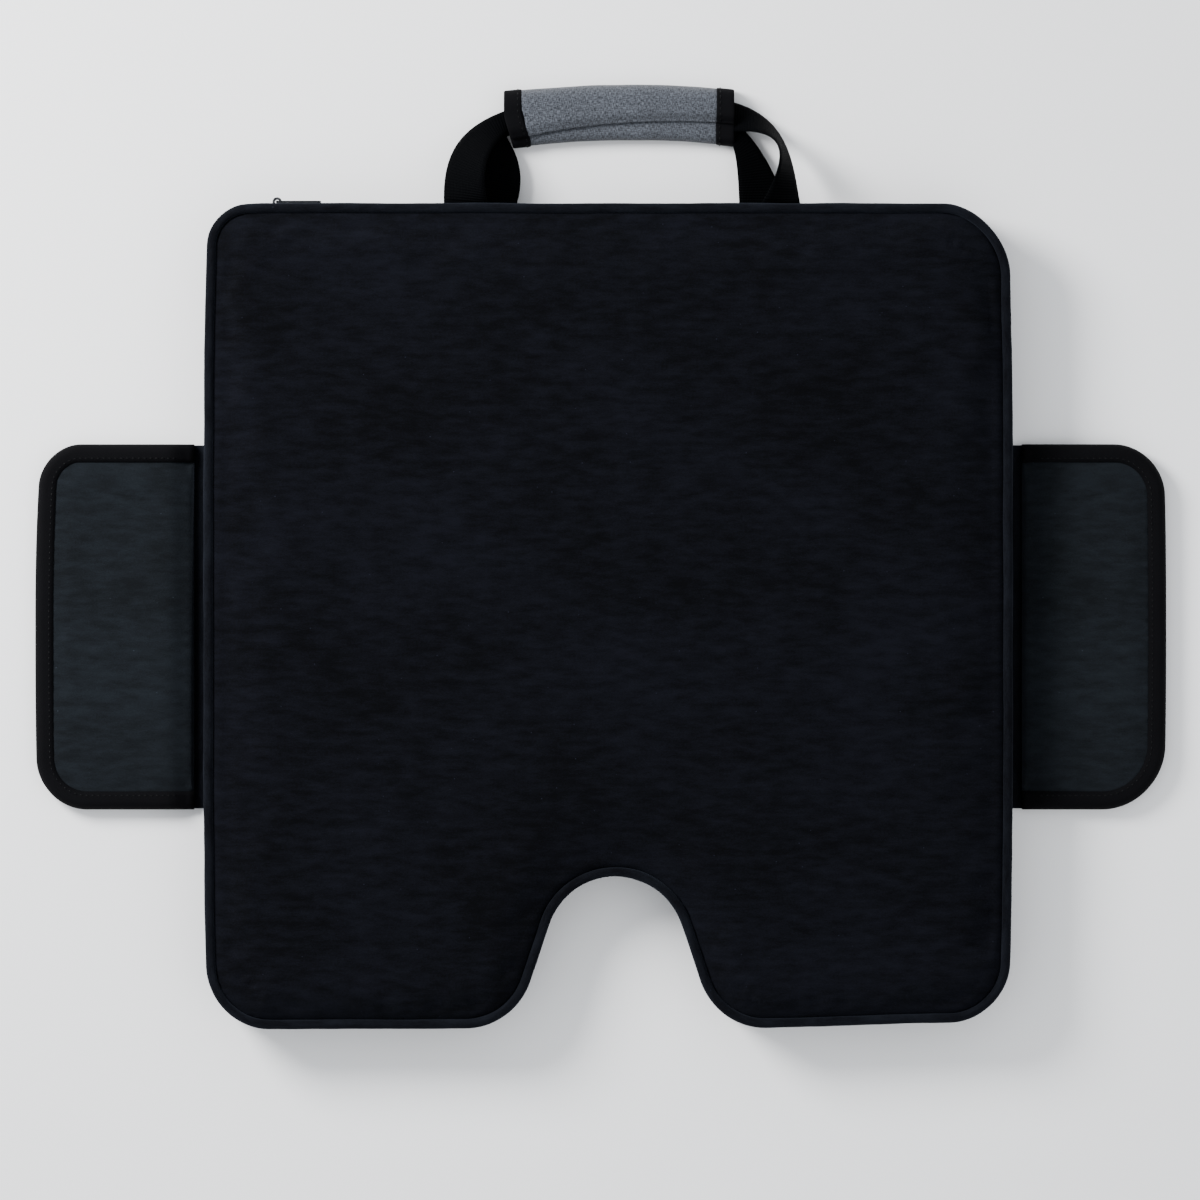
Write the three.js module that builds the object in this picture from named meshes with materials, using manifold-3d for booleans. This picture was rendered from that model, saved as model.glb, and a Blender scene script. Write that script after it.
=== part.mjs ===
// A tailbone seat cushion: a boxed foam pad with a U-shaped cutout at the back, a folding
// flap on each side, and a webbing carry handle with a wrapped grip at the front.
// Millimetres, +Z up. The pad lies on z = 0 with the origin at the centre of its underside,
// +Y points to the handle and the cutout opens towards -Y.

import * as THREE from 'three';
import { mergeVertices } from 'three/addons/utils/BufferGeometryUtils.js';
import Module from 'manifold-3d';

const wasm = await Module();
wasm.setup();

// ---------------------------------------------------------------- driving dimensions

// Fit and cloth thicknesses
const gap = 0.3;                // air left between pieces that touch
const panelCloth = 1.2;         // top panel, base panel and boxing
const pipingRadius = 2.6;       // round edge piping
const pipingLift = 0.4;         // bottom piping above the floor

// The pad
const padWidth = 441;
const padDepth = 450;
const edgeHeight = 34;          // floor to the top of the upper piping
const crownHeight = 40;         // floor to the middle of the top panel
const crownRun = 15;            // how far the top rises inwards from its seam
const boxingInset = 1.8;        // boxing face behind the outermost piping
const frontLeftRadius = 21;
const frontRightRadius = 38;
const backLeftRadius = 34;
const backRightRadius = 33;

// The tailbone cutout in the back edge
const cutoutCentre = 4;
const cutoutDepth = 83;
const cutoutRadius = 38;
const cutoutFlare = 18.4;       // degrees each leg opens from straight
const lipRadius = 38;

// The zip in the front boxing
const zipEndRoom = 10;          // from the front corners' round to each end of the chain
const chainHeight = 3;
const chainDepth = 2.2;
const tapeCloth = 0.8;
const tapeHeight = 6;           // each tape, from the chain outwards
const zipWindow = 9.4;          // bare strip left open between the two cloth strips
const stopLength = 3;
const stopWall = 0.8;
const sliderLength = 11;
const sliderHeight = 8;
const sliderPlate = 1.2;
const lugRadius = 2.6;          // round lug on the slider that the pull hangs on
const lugHole = 1.2;
const lugWidth = 3;
const pullBarRadius = 0.7;
const pullLength = 24;
const pullWidth = 6.6;
const pullThickness = 1.2;
const pullWindow = 4.2;         // slot in the pull that swings round the lug
const pullWindowLength = 4;

// The side flaps
const flapBack = -106;          // along Y
const flapFront = 94;
const flapThickness = 12;
const flapLift = 0.5;           // flap above the floor
const flapEdgeHeight = 7;       // thickness at the sewn edge
const flapBevelRun = 12;
const flapCloth = 1;
const bindingWidth = 10;
const bindingCloth = 1.2;
const webStart = 1.2;           // hinge web, measured out from the pad's side
const webEnd = 5.7;
const webCloth = 1;
const flapSides = [
  { name: 'left', side: -1, reach: 93, backRadius: 28, frontRadius: 23 },
  { name: 'right', side: 1, reach: 85, backRadius: 35, frontRadius: 28 },
];

// The carry handle
const strapWidth = 25;
const strapCloth = 1.4;
const strapRunOut = 12;         // straight run from the pad before the corner
const upperStrapRoll = 5;       // how far the inner edge rises in the corner
const handleReach = 65;         // pad edge to the grip's far edge
const gripLeftEnd = -57;
const gripRightEnd = 69;
const upperStrapSpread = { left: 7.5, right: 10.5 };  // inner edge at the seam, outside the grip
const lowerStrapSpread = { left: 1, right: 1 };
const gripCloth = 1.8;
const gripSideRoom = 0.9;       // between the straps' edges and the wrap
const gripCorner = 3;
const gripPadding = 2;
const gripLift = 0.6;           // grey cloth above the floor
const endBindingWidth = 10;
const endBindingSwell = 0.4;    // how far the end bindings stand out of the cloth
const overlapShare = 0.7;       // flap edge, as a share of the grip's width
const overlapCloth = 0.9;       // hook strip and loop strip
const overlapSetBack = 2;       // strips' edges behind the cloth's
const gripFlapCorner = 6;

// ---------------------------------------------------------------- values that follow

const back = -padDepth / 2;
const front = padDepth / 2;
const seamInset = 2 * pipingRadius + gap;
const tightestCorner = Math.min(
  frontLeftRadius,
  frontRightRadius,
  backLeftRadius,
  backRightRadius,
  lipRadius,
);
const crownReach = Math.min(crownRun, tightestCorner - seamInset - gap);
const bottomPipingTop = pipingLift + 2 * pipingRadius;
const topPipingBottom = edgeHeight - 2 * pipingRadius;
const boxingLow = bottomPipingTop + gap;
const boxingHigh = topPipingBottom - gap;
const topSeamHeight = edgeHeight - pipingRadius;
const tapeInset = boxingInset + panelCloth + gap;
const foamInset = tapeInset + tapeCloth + gap;
const chainMiddle = (boxingLow + boxingHigh) / 2;
const chainLeft = -padWidth / 2 + frontLeftRadius + zipEndRoom;
const chainRight = padWidth / 2 - frontRightRadius - zipEndRoom;
const flapTop = flapLift + flapThickness;
const flapRoot = webEnd + gap;
const gripWidth = strapWidth + 2 * (gripSideRoom + gripCloth);
const gripMiddle = front + handleReach - gripWidth / 2;
const overshoot = 1;            // how far a cutting shape runs past what it cuts

// ---------------------------------------------------------------- geometry helpers

const radians = THREE.MathUtils.degToRad;

/** Six times the volume of a triangle mesh, negative when its faces point inwards. */
function signedVolume(geometry) {
  const position = geometry.getAttribute('position');
  const index = geometry.getIndex();
  const a = new THREE.Vector3();
  const b = new THREE.Vector3();
  const c = new THREE.Vector3();
  let total = 0;
  for (let i = 0; i < index.count; i += 3) {
    a.fromBufferAttribute(position, index.getX(i));
    b.fromBufferAttribute(position, index.getX(i + 1));
    c.fromBufferAttribute(position, index.getX(i + 2));
    total += a.dot(b.cross(c));
  }
  return total;
}

/** One indexed mesh with shared corners and its faces pointing outwards. */
function closed(geometry) {
  geometry.deleteAttribute('normal');
  geometry.deleteAttribute('uv');
  const merged = mergeVertices(geometry, 1e-4);
  if (signedVolume(merged) < 0) {
    merged.getIndex().array.reverse();
  }
  merged.computeVertexNormals();
  return merged;
}

/** A mesh from a grid of rings, each a list of points with the same count. */
function gridGeometry(rings, faces) {
  const geometry = new THREE.BufferGeometry();
  geometry.setFromPoints(rings.flat());
  geometry.setIndex(faces);
  return closed(geometry);
}

/** Triangles between two neighbouring rings that start at vertex numbers a and b. */
function wallFaces(a, b, count) {
  const faces = [];
  for (let i = 0; i < count; i += 1) {
    const next = (i + 1) % count;
    faces.push(a + i, a + next, b + next, a + i, b + next, b + i);
  }
  return faces;
}

/** Triangles that fill a flat ring, turned the same way round as the ring. */
function capFaces(contour) {
  const faces = THREE.ShapeUtils.triangulateShape(contour, []);
  const clockwise = THREE.ShapeUtils.isClockWise(contour);
  return faces.map(([i, j, k]) => (clockwise ? [i, k, j] : [i, j, k]));
}

/** A solid lofted through rings, with a flat cap over the first and the last. */
function cappedLoft(rings, capPlane) {
  const count = rings[0].length;
  const faces = [];
  for (let r = 0; r + 1 < rings.length; r += 1) {
    faces.push(...wallFaces(r * count, (r + 1) * count, count));
  }
  const last = (rings.length - 1) * count;
  for (const [i, j, k] of capFaces(rings[0].map(capPlane))) {
    faces.push(i, k, j);
  }
  for (const [i, j, k] of capFaces(rings[rings.length - 1].map(capPlane))) {
    faces.push(last + i, last + j, last + k);
  }
  return gridGeometry(rings, faces);
}

/** A closed ring, such as piping, lofted through sections that run all the way round. */
function ringLoft(sections) {
  const count = sections[0].length;
  const faces = sections.flatMap((_, s) => {
    const next = (s + 1) % sections.length;
    return wallFaces(s * count, next * count, count);
  });
  return gridGeometry(sections, faces);
}

/** An outline in X and Y, raised from one height to another. */
function prismZ(shape, low, high) {
  const geometry = new THREE.ExtrudeGeometry(shape, {
    depth: high - low,
    bevelEnabled: false,
    curveSegments: 8,
  });
  geometry.translate(0, 0, low);
  return closed(geometry);
}

/** An outline in Y and Z, run along X. */
function prismX(shape, from, to) {
  const geometry = new THREE.ExtrudeGeometry(shape, {
    depth: to - from,
    bevelEnabled: false,
    curveSegments: 5,
  });
  const turn = new THREE.Matrix4().makeBasis(
    new THREE.Vector3(0, 1, 0),
    new THREE.Vector3(0, 0, 1),
    new THREE.Vector3(1, 0, 0),
  );
  geometry.applyMatrix4(turn);
  geometry.translate(from, 0, 0);
  return closed(geometry);
}

/** An outline in X and Z, run along Y. */
function prismY(shape, from, to) {
  const geometry = new THREE.ExtrudeGeometry(shape, {
    depth: to - from,
    bevelEnabled: false,
  });
  geometry.rotateX(Math.PI / 2);
  geometry.translate(0, to, 0);
  return closed(geometry);
}

/** A box between two opposite corners. */
function slab([x0, y0, z0], [x1, y1, z1]) {
  const geometry = new THREE.BoxGeometry(x1 - x0, y1 - y0, z1 - z0);
  geometry.translate((x0 + x1) / 2, (y0 + y1) / 2, (z0 + z1) / 2);
  return closed(geometry);
}

/** A closed geometry as a manifold solid. */
function toSolid(geometry) {
  return new wasm.Manifold(new wasm.Mesh({
    numProp: 3,
    vertProperties: new Float32Array(geometry.getAttribute('position').array),
    triVerts: new Uint32Array(geometry.getIndex().array),
  }));
}

/** A manifold solid as a closed geometry. */
function fromSolid(solid) {
  const mesh = solid.getMesh();
  const geometry = new THREE.BufferGeometry();
  geometry.setAttribute('position', new THREE.BufferAttribute(mesh.vertProperties, 3));
  geometry.setIndex(new THREE.BufferAttribute(mesh.triVerts, 1));
  return closed(geometry);
}

const join = (a, b) => fromSolid(toSolid(a).add(toSolid(b)));
const cut = (a, b) => fromSolid(toSolid(a).subtract(toSolid(b)));
const common = (a, b) => fromSolid(toSolid(a).intersect(toSolid(b)));

// ---------------------------------------------------------------- the pad's outline

/** The outline's round stretches, anticlockwise from the handle edge's left end. A turn
    runs between two headings; one that turns clockwise is hollow, as the cutout's arch. */
function padTurns() {
  const left = -padWidth / 2;
  const right = padWidth / 2;
  const flare = radians(cutoutFlare);
  const leg = 90 - cutoutFlare;
  const archY = back + cutoutDepth - cutoutRadius;
  const legTop = archY + cutoutRadius * Math.sin(flare);
  const lipY = back + lipRadius;
  const slant = (lipRadius + (legTop - lipY) * Math.sin(flare)) / Math.cos(flare);
  const lipReach = cutoutRadius * Math.cos(flare) + slant;
  const corner = (x, y, sideX, sideY, radius, from) => (
    { x: x - sideX * radius, y: y - sideY * radius, radius, from, to: from + 90 }
  );
  return [
    corner(left, front, -1, 1, frontLeftRadius, 180),
    corner(left, back, -1, -1, backLeftRadius, -90),
    { x: cutoutCentre - lipReach, y: lipY, radius: lipRadius, from: 0, to: leg },
    { x: cutoutCentre, y: archY, radius: cutoutRadius, from: leg, to: -leg },
    { x: cutoutCentre + lipReach, y: lipY, radius: lipRadius, from: -leg, to: 0 },
    corner(right, back, 1, -1, backRightRadius, 0),
    corner(right, front, 1, 1, frontRightRadius, 90),
  ];
}

const turnStep = 12;            // degrees of turn to one flat of the outline

/** Points of the outline, each with the direction that faces out of the pad. */
function outlinePoints() {
  return padTurns().flatMap(({ x, y, radius, from, to }) => {
    const steps = Math.ceil(Math.abs(to - from) / turnStep);
    const side = Math.sign(to - from);
    return Array.from({ length: steps + 1 }, (_, i) => {
      const heading = radians(from + ((to - from) * i) / steps);
      const outX = Math.sin(heading);
      const outY = -Math.cos(heading);
      return { x: x + side * radius * outX, y: y + side * radius * outY, outX, outY };
    });
  });
}

const outline = outlinePoints();

/** The outline moved inwards and set at a height. */
function padRing(inset, z) {
  return outline.map((p) => (
    new THREE.Vector3(p.x - p.outX * inset, p.y - p.outY * inset, z)
  ));
}

const seenFromAbove = (p) => new THREE.Vector2(p.x, p.y);

/** Insets and heights up the crown, from the top seam to the flat middle. */
function crownProfile(drop) {
  const steps = 4;
  return Array.from({ length: steps + 1 }, (_, i) => {
    const rise = Math.sin((Math.PI / 2) * (i / steps));
    const z = topSeamHeight + (crownHeight - topSeamHeight) * rise - drop;
    return { inset: seamInset + (crownReach * i) / steps, z };
  });
}

const crownRings = (drop) => crownProfile(drop).map(({ inset, z }) => padRing(inset, z));

// ---------------------------------------------------------------- the pad's pieces

function topPanel() {
  const under = crownRings(panelCloth).reverse();
  return cappedLoft([...under, ...crownRings(0)], seenFromAbove);
}

function basePanel() {
  return cappedLoft([padRing(seamInset, 0), padRing(seamInset, panelCloth)], seenFromAbove);
}

function foamCore() {
  const shoulder = boxingHigh;
  const sides = [
    padRing(seamInset, panelCloth + gap),
    padRing(seamInset, boxingLow),
    padRing(foamInset, boxingLow),
    padRing(foamInset, shoulder),
    padRing(seamInset, shoulder),
  ];
  return cappedLoft([...sides, ...crownRings(panelCloth + gap)], seenFromAbove);
}

/** Round piping that runs right round the pad. */
function piping(centreHeight) {
  const flats = 8;
  const sections = outline.map((p) => (
    Array.from({ length: flats }, (_, i) => {
      const angle = (2 * Math.PI * i) / flats;
      const inset = pipingRadius * (1 - Math.cos(angle));
      const z = centreHeight + pipingRadius * Math.sin(angle);
      return new THREE.Vector3(p.x - p.outX * inset, p.y - p.outY * inset, z);
    })
  ));
  return ringLoft(sections);
}

/** Boxing round the left side, back, cutout and right side, open along the handle edge. */
function boxingBand() {
  const outer = padRing(boxingInset, 0).map(seenFromAbove);
  const inner = padRing(boxingInset + panelCloth, 0).map(seenFromAbove);
  return prismZ(new THREE.Shape([...outer, ...inner.reverse()]), boxingLow, boxingHigh);
}

/** Cloth strip of the front boxing, above or below the zip. */
function zipStrip(low, high) {
  const left = -padWidth / 2 + frontLeftRadius + gap;
  const right = padWidth / 2 - frontRightRadius - gap;
  const face = front - boxingInset;
  return slab([left, face - panelCloth, low], [right, face, high]);
}

// ---------------------------------------------------------------- the zip

function zipTape(low, high) {
  const face = front - tapeInset;
  return slab([chainLeft, face - tapeCloth, low], [chainRight, face, high]);
}

/** A length of the chain's rounded section, made larger by the swell. */
function chainPiece(from, to, swell) {
  const shape = new THREE.Shape();
  const middle = front - tapeInset - tapeCloth + chainDepth / 2;
  shape.absellipse(
    middle,
    chainMiddle,
    chainDepth / 2 + swell,
    chainHeight / 2 + swell,
    0,
    2 * Math.PI,
  );
  return prismX(shape, from, to);
}

const chainFace = front - tapeInset - tapeCloth + chainDepth;
const plateBack = chainFace + gap;
const plateFace = plateBack + sliderPlate;
const pullAxis = plateFace + lugHole + gap;
const sliderStart = chainLeft + stopLength + gap;
const sliderMiddle = sliderStart + sliderLength / 2;

/** Metal staple that closes one end of the chain. */
function zipStop(from) {
  const wallBack = front - tapeInset + gap;
  const reach = chainHeight / 2 + gap + stopWall;
  const to = from + stopLength;
  const block = slab(
    [from, wallBack, chainMiddle - reach],
    [to, plateBack + stopWall, chainMiddle + reach],
  );
  return cut(block, chainPiece(from - overshoot, to + overshoot, gap));
}

/** Slider: a plate with a lip above and below the chain, and a lug for the pull. */
function zipSlider() {
  const lipBack = front - tapeInset + gap;
  const low = chainMiddle - sliderHeight / 2;
  const high = chainMiddle + sliderHeight / 2;
  const end = sliderStart + sliderLength;
  const channelHalf = chainHeight / 2 + 2 * gap;
  const block = slab([sliderStart, lipBack, low], [end, plateFace, high]);
  const channel = slab(
    [sliderStart - overshoot, lipBack - overshoot, chainMiddle - channelHalf],
    [end + overshoot, plateBack, chainMiddle + channelHalf],
  );
  const lugShape = new THREE.Shape();
  lugShape.absarc(sliderMiddle, pullAxis, lugRadius, 0, 2 * Math.PI);
  const hole = new THREE.Path();
  hole.absarc(sliderMiddle, pullAxis, lugHole, 0, 2 * Math.PI);
  lugShape.holes.push(hole);
  const lugLow = chainMiddle - lugWidth / 2;
  const lug = prismZ(lugShape, lugLow, lugLow + lugWidth);
  const plateRoom = slab(
    [sliderStart, lipBack - lugRadius, lugLow - overshoot],
    [end, plateFace - sliderPlate / 2, lugLow + lugWidth + overshoot],
  );
  return join(cut(block, channel), cut(lug, plateRoom));
}

/** Pull: a round-ended tab whose end bar turns in the slider's lug. */
function zipPull() {
  const tab = new THREE.Shape();
  const half = pullWidth / 2;
  const endX = sliderMiddle + pullLength;
  tab.moveTo(sliderMiddle, chainMiddle - half);
  tab.lineTo(endX - half, chainMiddle - half);
  tab.absarc(endX - half, chainMiddle, half, -Math.PI / 2, Math.PI / 2);
  tab.lineTo(sliderMiddle, chainMiddle + half);
  const faceLow = pullAxis - pullThickness / 2;
  const faceHigh = pullAxis + pullThickness / 2;
  const plate = prismY(tab, faceLow, faceHigh);
  const slot = slab(
    [sliderMiddle - overshoot, faceLow - overshoot, chainMiddle - pullWindow / 2],
    [sliderMiddle + pullWindowLength, faceHigh + overshoot, chainMiddle + pullWindow / 2],
  );
  const bar = new THREE.CylinderGeometry(pullBarRadius, pullBarRadius, pullWidth, 12);
  bar.rotateX(Math.PI / 2);
  bar.translate(sliderMiddle, pullAxis, chainMiddle);
  return join(cut(plate, slot), closed(bar));
}

// ---------------------------------------------------------------- the side flaps

/** A flap seen from above, its three free edges moved inwards by the inset. */
function flapPlan(flap, inset, root) {
  const { reach, backRadius, frontRadius } = flap;
  const shape = new THREE.Shape();
  shape.moveTo(root, flapBack + inset);
  shape.lineTo(reach - backRadius, flapBack + inset);
  shape.absarc(
    reach - backRadius,
    flapBack + backRadius,
    backRadius - inset,
    -Math.PI / 2,
    0,
  );
  shape.absarc(
    reach - frontRadius,
    flapFront - frontRadius,
    frontRadius - inset,
    0,
    Math.PI / 2,
  );
  shape.lineTo(root, flapFront - inset);
  return shape;
}

function flapPrism(flap, inset, root) {
  return prismZ(flapPlan(flap, inset, root), -overshoot, flapTop + overshoot);
}

/** Height of a flap's upper face: it slopes down to the sewn edge. */
function flapHeightAt(out) {
  const share = Math.min((out - flapRoot) / flapBevelRun, 1);
  return flapLift + flapEdgeHeight + (flapThickness - flapEdgeHeight) * share;
}

/** What lies between two depths below a flap's upper face; without a deeper one, down
    to a flat underside. */
function flapLayer(flap, upperDrop, lowerDrop, underside) {
  const end = flap.reach + overshoot;
  const bend = flapRoot + flapBevelRun;
  const root = flapRoot - overshoot;
  const top = [root, bend, end].map((x) => (
    new THREE.Vector2(x, flapHeightAt(x) - upperDrop)
  ));
  const bottom = lowerDrop === null
    ? [new THREE.Vector2(end, underside), new THREE.Vector2(root, underside)]
    : [end, bend, root].map((x) => new THREE.Vector2(x, flapHeightAt(x) - lowerDrop));
  const section = new THREE.Shape([...top, ...bottom]);
  return prismY(section, flapBack - overshoot, flapFront + overshoot);
}

const flapSkin = flapCloth + gap;

function flapBasePanel(flap) {
  const low = flapLift + flapSkin;
  const inset = bindingCloth + gap;
  return prismZ(flapPlan(flap, inset, flapRoot), low, low + flapCloth);
}

function flapTopPanel(flap) {
  const layer = flapLayer(flap, flapSkin, flapSkin + flapCloth);
  return common(flapPrism(flap, bindingCloth + gap, flapRoot), layer);
}

function flapFoam(flap) {
  const layer = flapLayer(flap, 2 * flapSkin, null, flapLift + 2 * flapSkin);
  return common(flapPrism(flap, bindingCloth + gap, flapRoot), layer);
}

/** Binding folded over the three free edges. */
function flapBinding(flap) {
  const whole = common(
    flapPrism(flap, 0, flapRoot),
    flapLayer(flap, 0, null, flapLift),
  );
  const hollow = common(
    flapPrism(flap, bindingCloth, flapRoot - overshoot),
    flapLayer(flap, flapCloth, null, flapLift + flapCloth),
  );
  const middle = flapPrism(flap, bindingWidth, flapRoot - overshoot);
  return cut(cut(whole, hollow), middle);
}

/** Strip of cloth that the flap folds on, along the pad's bottom seam. */
function flapWeb() {
  return slab(
    [webStart, flapBack + bindingCloth, flapLift],
    [webEnd, flapFront - bindingCloth, flapLift + webCloth],
  );
}

/** Moves a piece made beside x = 0 out to the pad's left or right side. */
function besidePad(geometry, side) {
  geometry.scale(side, 1, 1);
  geometry.translate((side * padWidth) / 2, 0, 0);
  return closed(geometry);
}

// ---------------------------------------------------------------- the carry handle

const gripHalf = gripWidth / 2;
const paddingLow = gripLift + gripCloth + gap;
const lowerStrapLow = paddingLow + gripPadding + gap;
const upperStrapLow = lowerStrapLow + strapCloth + gap;
const tongueTop = upperStrapLow + strapCloth + gap + gripCloth;
const loopLow = tongueTop + gap;
const hookLow = loopLow + overlapCloth + gap;
const gripFlapTop = hookLow + overlapCloth + gap + gripCloth;
const gripFlapFoot = gripLift + gripCloth + gap;
const overlapEdge = gripHalf - overlapShare * gripWidth;
const wrapEdge = gripHalf - gripCloth - gap;
const tongueEdge = gripHalf - gripFlapCorner - gap;

/** A closed band of cloth through a strap's stations, each a pair of edge points. */
function ribbon(stations) {
  const middle = stations.map(([a, b]) => a.clone().add(b).multiplyScalar(0.5));
  const sections = stations.map(([outer, inner], i) => {
    const before = middle[Math.max(i - 1, 0)];
    const after = middle[Math.min(i + 1, middle.length - 1)];
    const along = after.clone().sub(before);
    const across = outer.clone().sub(inner);
    const up = across.cross(along).normalize().multiplyScalar(strapCloth / 2);
    return [
      outer.clone().add(up),
      outer.clone().sub(up),
      inner.clone().sub(up),
      inner.clone().add(up),
    ];
  });
  const endPlane = (p) => new THREE.Vector2(p.x, p.z);
  return cappedLoft(sections, endPlane);
}

/** Stations from one seam round the corner to the grip: each strap edge runs out
    straight, then follows a quarter of an ellipse, and the inner edge may rise on the way. */
function strapCorner(base, gripEnd, seamHeight, gripHeight, innerLift) {
  const side = Math.sign(base);
  const cornerY = front + strapRunOut;
  const half = strapWidth / 2;
  const steps = 10;
  const start = [base + side * half, base - side * half].map((x) => (
    new THREE.Vector3(x, front - boxingInset + gap, seamHeight)
  ));
  const round = Array.from({ length: steps + 1 }, (_, i) => {
    const angle = (Math.PI / 2) * (i / steps);
    const share = (1 - Math.cos(2 * angle)) / 2;
    const z = seamHeight + (gripHeight - seamHeight) * share;
    return [1, -1].map((edge) => {
      const wide = base + side * edge * half - gripEnd;
      const tall = gripMiddle + edge * half - cornerY;
      const lift = edge < 0 ? innerLift * Math.sin(2 * angle) : 0;
      return new THREE.Vector3(
        gripEnd + wide * Math.cos(angle),
        cornerY + tall * Math.sin(angle),
        z + lift,
      );
    });
  });
  return [start, ...round];
}

/** One length of webbing: seam, corner, grip, corner, seam. */
function strap(spread, seamHeight, gripHeight, innerLift) {
  const leftBase = gripLeftEnd - spread.left - strapWidth / 2;
  const rightBase = gripRightEnd + spread.right + strapWidth / 2;
  const left = strapCorner(leftBase, gripLeftEnd - gap, seamHeight, gripHeight, innerLift);
  const right = strapCorner(rightBase, gripRightEnd + gap, seamHeight, gripHeight, innerLift);
  return ribbon([...left, ...right.reverse()]);
}

const upperSeamHeight = boxingHigh - strapCloth / 2 - gap;
const lowerSeamHeight = boxingLow + strapCloth / 2 + gap;

function strapUpper() {
  const gripHeight = upperStrapLow + strapCloth / 2;
  return strap(upperStrapSpread, upperSeamHeight, gripHeight, upperStrapRoll);
}

function strapLower() {
  const gripHeight = lowerStrapLow + strapCloth / 2;
  return strap(lowerStrapSpread, lowerSeamHeight, gripHeight, 0);
}

/** Section of the wrap: under the straps, round the pad side, and over them as a tongue. */
function wrapSection(swell) {
  const shape = new THREE.Shape();
  const side = gripMiddle - gripHalf;
  const low = gripLift;
  const centre = side + gripCorner;
  const inner = gripCorner - gripCloth;
  const outer = gripCorner + swell;
  shape.moveTo(gripMiddle + wrapEdge, low - swell);
  shape.absarc(centre, low + gripCorner, outer, -Math.PI / 2, -Math.PI, true);
  shape.absarc(centre, tongueTop - gripCorner, outer, Math.PI, Math.PI / 2, true);
  shape.lineTo(gripMiddle + tongueEdge, tongueTop + swell);
  shape.lineTo(gripMiddle + tongueEdge, tongueTop - gripCloth);
  shape.absarc(centre, tongueTop - gripCorner, inner, Math.PI / 2, Math.PI, false);
  shape.absarc(centre, low + gripCorner, inner, Math.PI, 1.5 * Math.PI, false);
  shape.lineTo(gripMiddle + wrapEdge, low + gripCloth);
  return shape;
}

/** Section of the closing flap: up the far side and over the top to its free edge. */
function gripFlapSection(swell) {
  const shape = new THREE.Shape();
  const side = gripMiddle + gripHalf;
  const centre = side - gripFlapCorner;
  const bendHeight = gripFlapTop - gripFlapCorner;
  const inner = gripFlapCorner - gripCloth;
  shape.moveTo(side + swell, gripFlapFoot);
  shape.absarc(centre, bendHeight, gripFlapCorner + swell, 0, Math.PI / 2, false);
  shape.lineTo(gripMiddle + overlapEdge, gripFlapTop + swell);
  shape.lineTo(gripMiddle + overlapEdge, gripFlapTop - gripCloth);
  shape.absarc(centre, bendHeight, inner, Math.PI / 2, 0, true);
  shape.lineTo(side - gripCloth, gripFlapFoot);
  return shape;
}

const clothLeft = gripLeftEnd + endBindingWidth + gap;
const clothRight = gripRightEnd - endBindingWidth - gap;

const gripWrap = () => prismX(wrapSection(0), clothLeft, clothRight);
const gripFlap = () => prismX(gripFlapSection(0), clothLeft, clothRight);

/** Black binding round one end of the wrap or of its flap. */
function endBinding(section, end) {
  const from = end === 'left' ? gripLeftEnd : gripRightEnd - endBindingWidth;
  return prismX(section(endBindingSwell), from, from + endBindingWidth);
}

function gripPad() {
  const half = strapWidth / 2;
  return slab(
    [clothLeft, gripMiddle - half, paddingLow],
    [clothRight, gripMiddle + half, paddingLow + gripPadding],
  );
}

/** Hook or loop strip in the overlap of the flap and the tongue. */
function overlapStrip(low) {
  return slab(
    [clothLeft + overlapSetBack, gripMiddle + overlapEdge + overlapSetBack, low],
    [clothRight - overlapSetBack, gripMiddle + tongueEdge - overlapSetBack, low + overlapCloth],
  );
}

// ---------------------------------------------------------------- materials

function cloth(color, roughness) {
  return new THREE.MeshStandardMaterial({ color, roughness, metalness: 0 });
}

const materials = {
  napCloth: () => cloth(0x101317, 0.95),
  baseCloth: () => cloth(0x0c0d0f, 0.9),
  foam: () => cloth(0xd9d4c4, 0.98),
  charcoalCloth: () => cloth(0x1b2024, 0.92),
  binding: () => cloth(0x0b0c0f, 0.85),
  webbing: () => cloth(0x0a0b0f, 0.75),
  heather: () => cloth(0x646b73, 0.97),
  hookLoop: () => cloth(0x08080a, 0.9),
  zipTape: () => cloth(0x0b0b0d, 0.85),
  coil: () => cloth(0x0a0a0b, 0.45),
  metal: () => new THREE.MeshStandardMaterial({
    color: 0x26272a,
    roughness: 0.35,
    metalness: 0.9,
  }),
};

// ---------------------------------------------------------------- the assembly

const cushion = new THREE.Group();

function addPiece(parent, name, geometry, material) {
  const mesh = new THREE.Mesh(geometry, material());
  mesh.name = name;
  parent.add(mesh);
}

function addPad() {
  const windowLow = chainMiddle - zipWindow / 2;
  const windowHigh = chainMiddle + zipWindow / 2;
  addPiece(cushion, 'top_panel', topPanel(), materials.napCloth);
  addPiece(cushion, 'base_panel', basePanel(), materials.baseCloth);
  addPiece(cushion, 'foam_core', foamCore(), materials.foam);
  addPiece(cushion, 'boxing_band', boxingBand(), materials.napCloth);
  addPiece(cushion, 'boxing_strip_lower', zipStrip(boxingLow, windowLow), materials.napCloth);
  addPiece(cushion, 'boxing_strip_upper', zipStrip(windowHigh, boxingHigh), materials.napCloth);
  addPiece(cushion, 'top_piping', piping(edgeHeight - pipingRadius), materials.napCloth);
  addPiece(cushion, 'bottom_piping', piping(pipingLift + pipingRadius), materials.napCloth);
}

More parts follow.
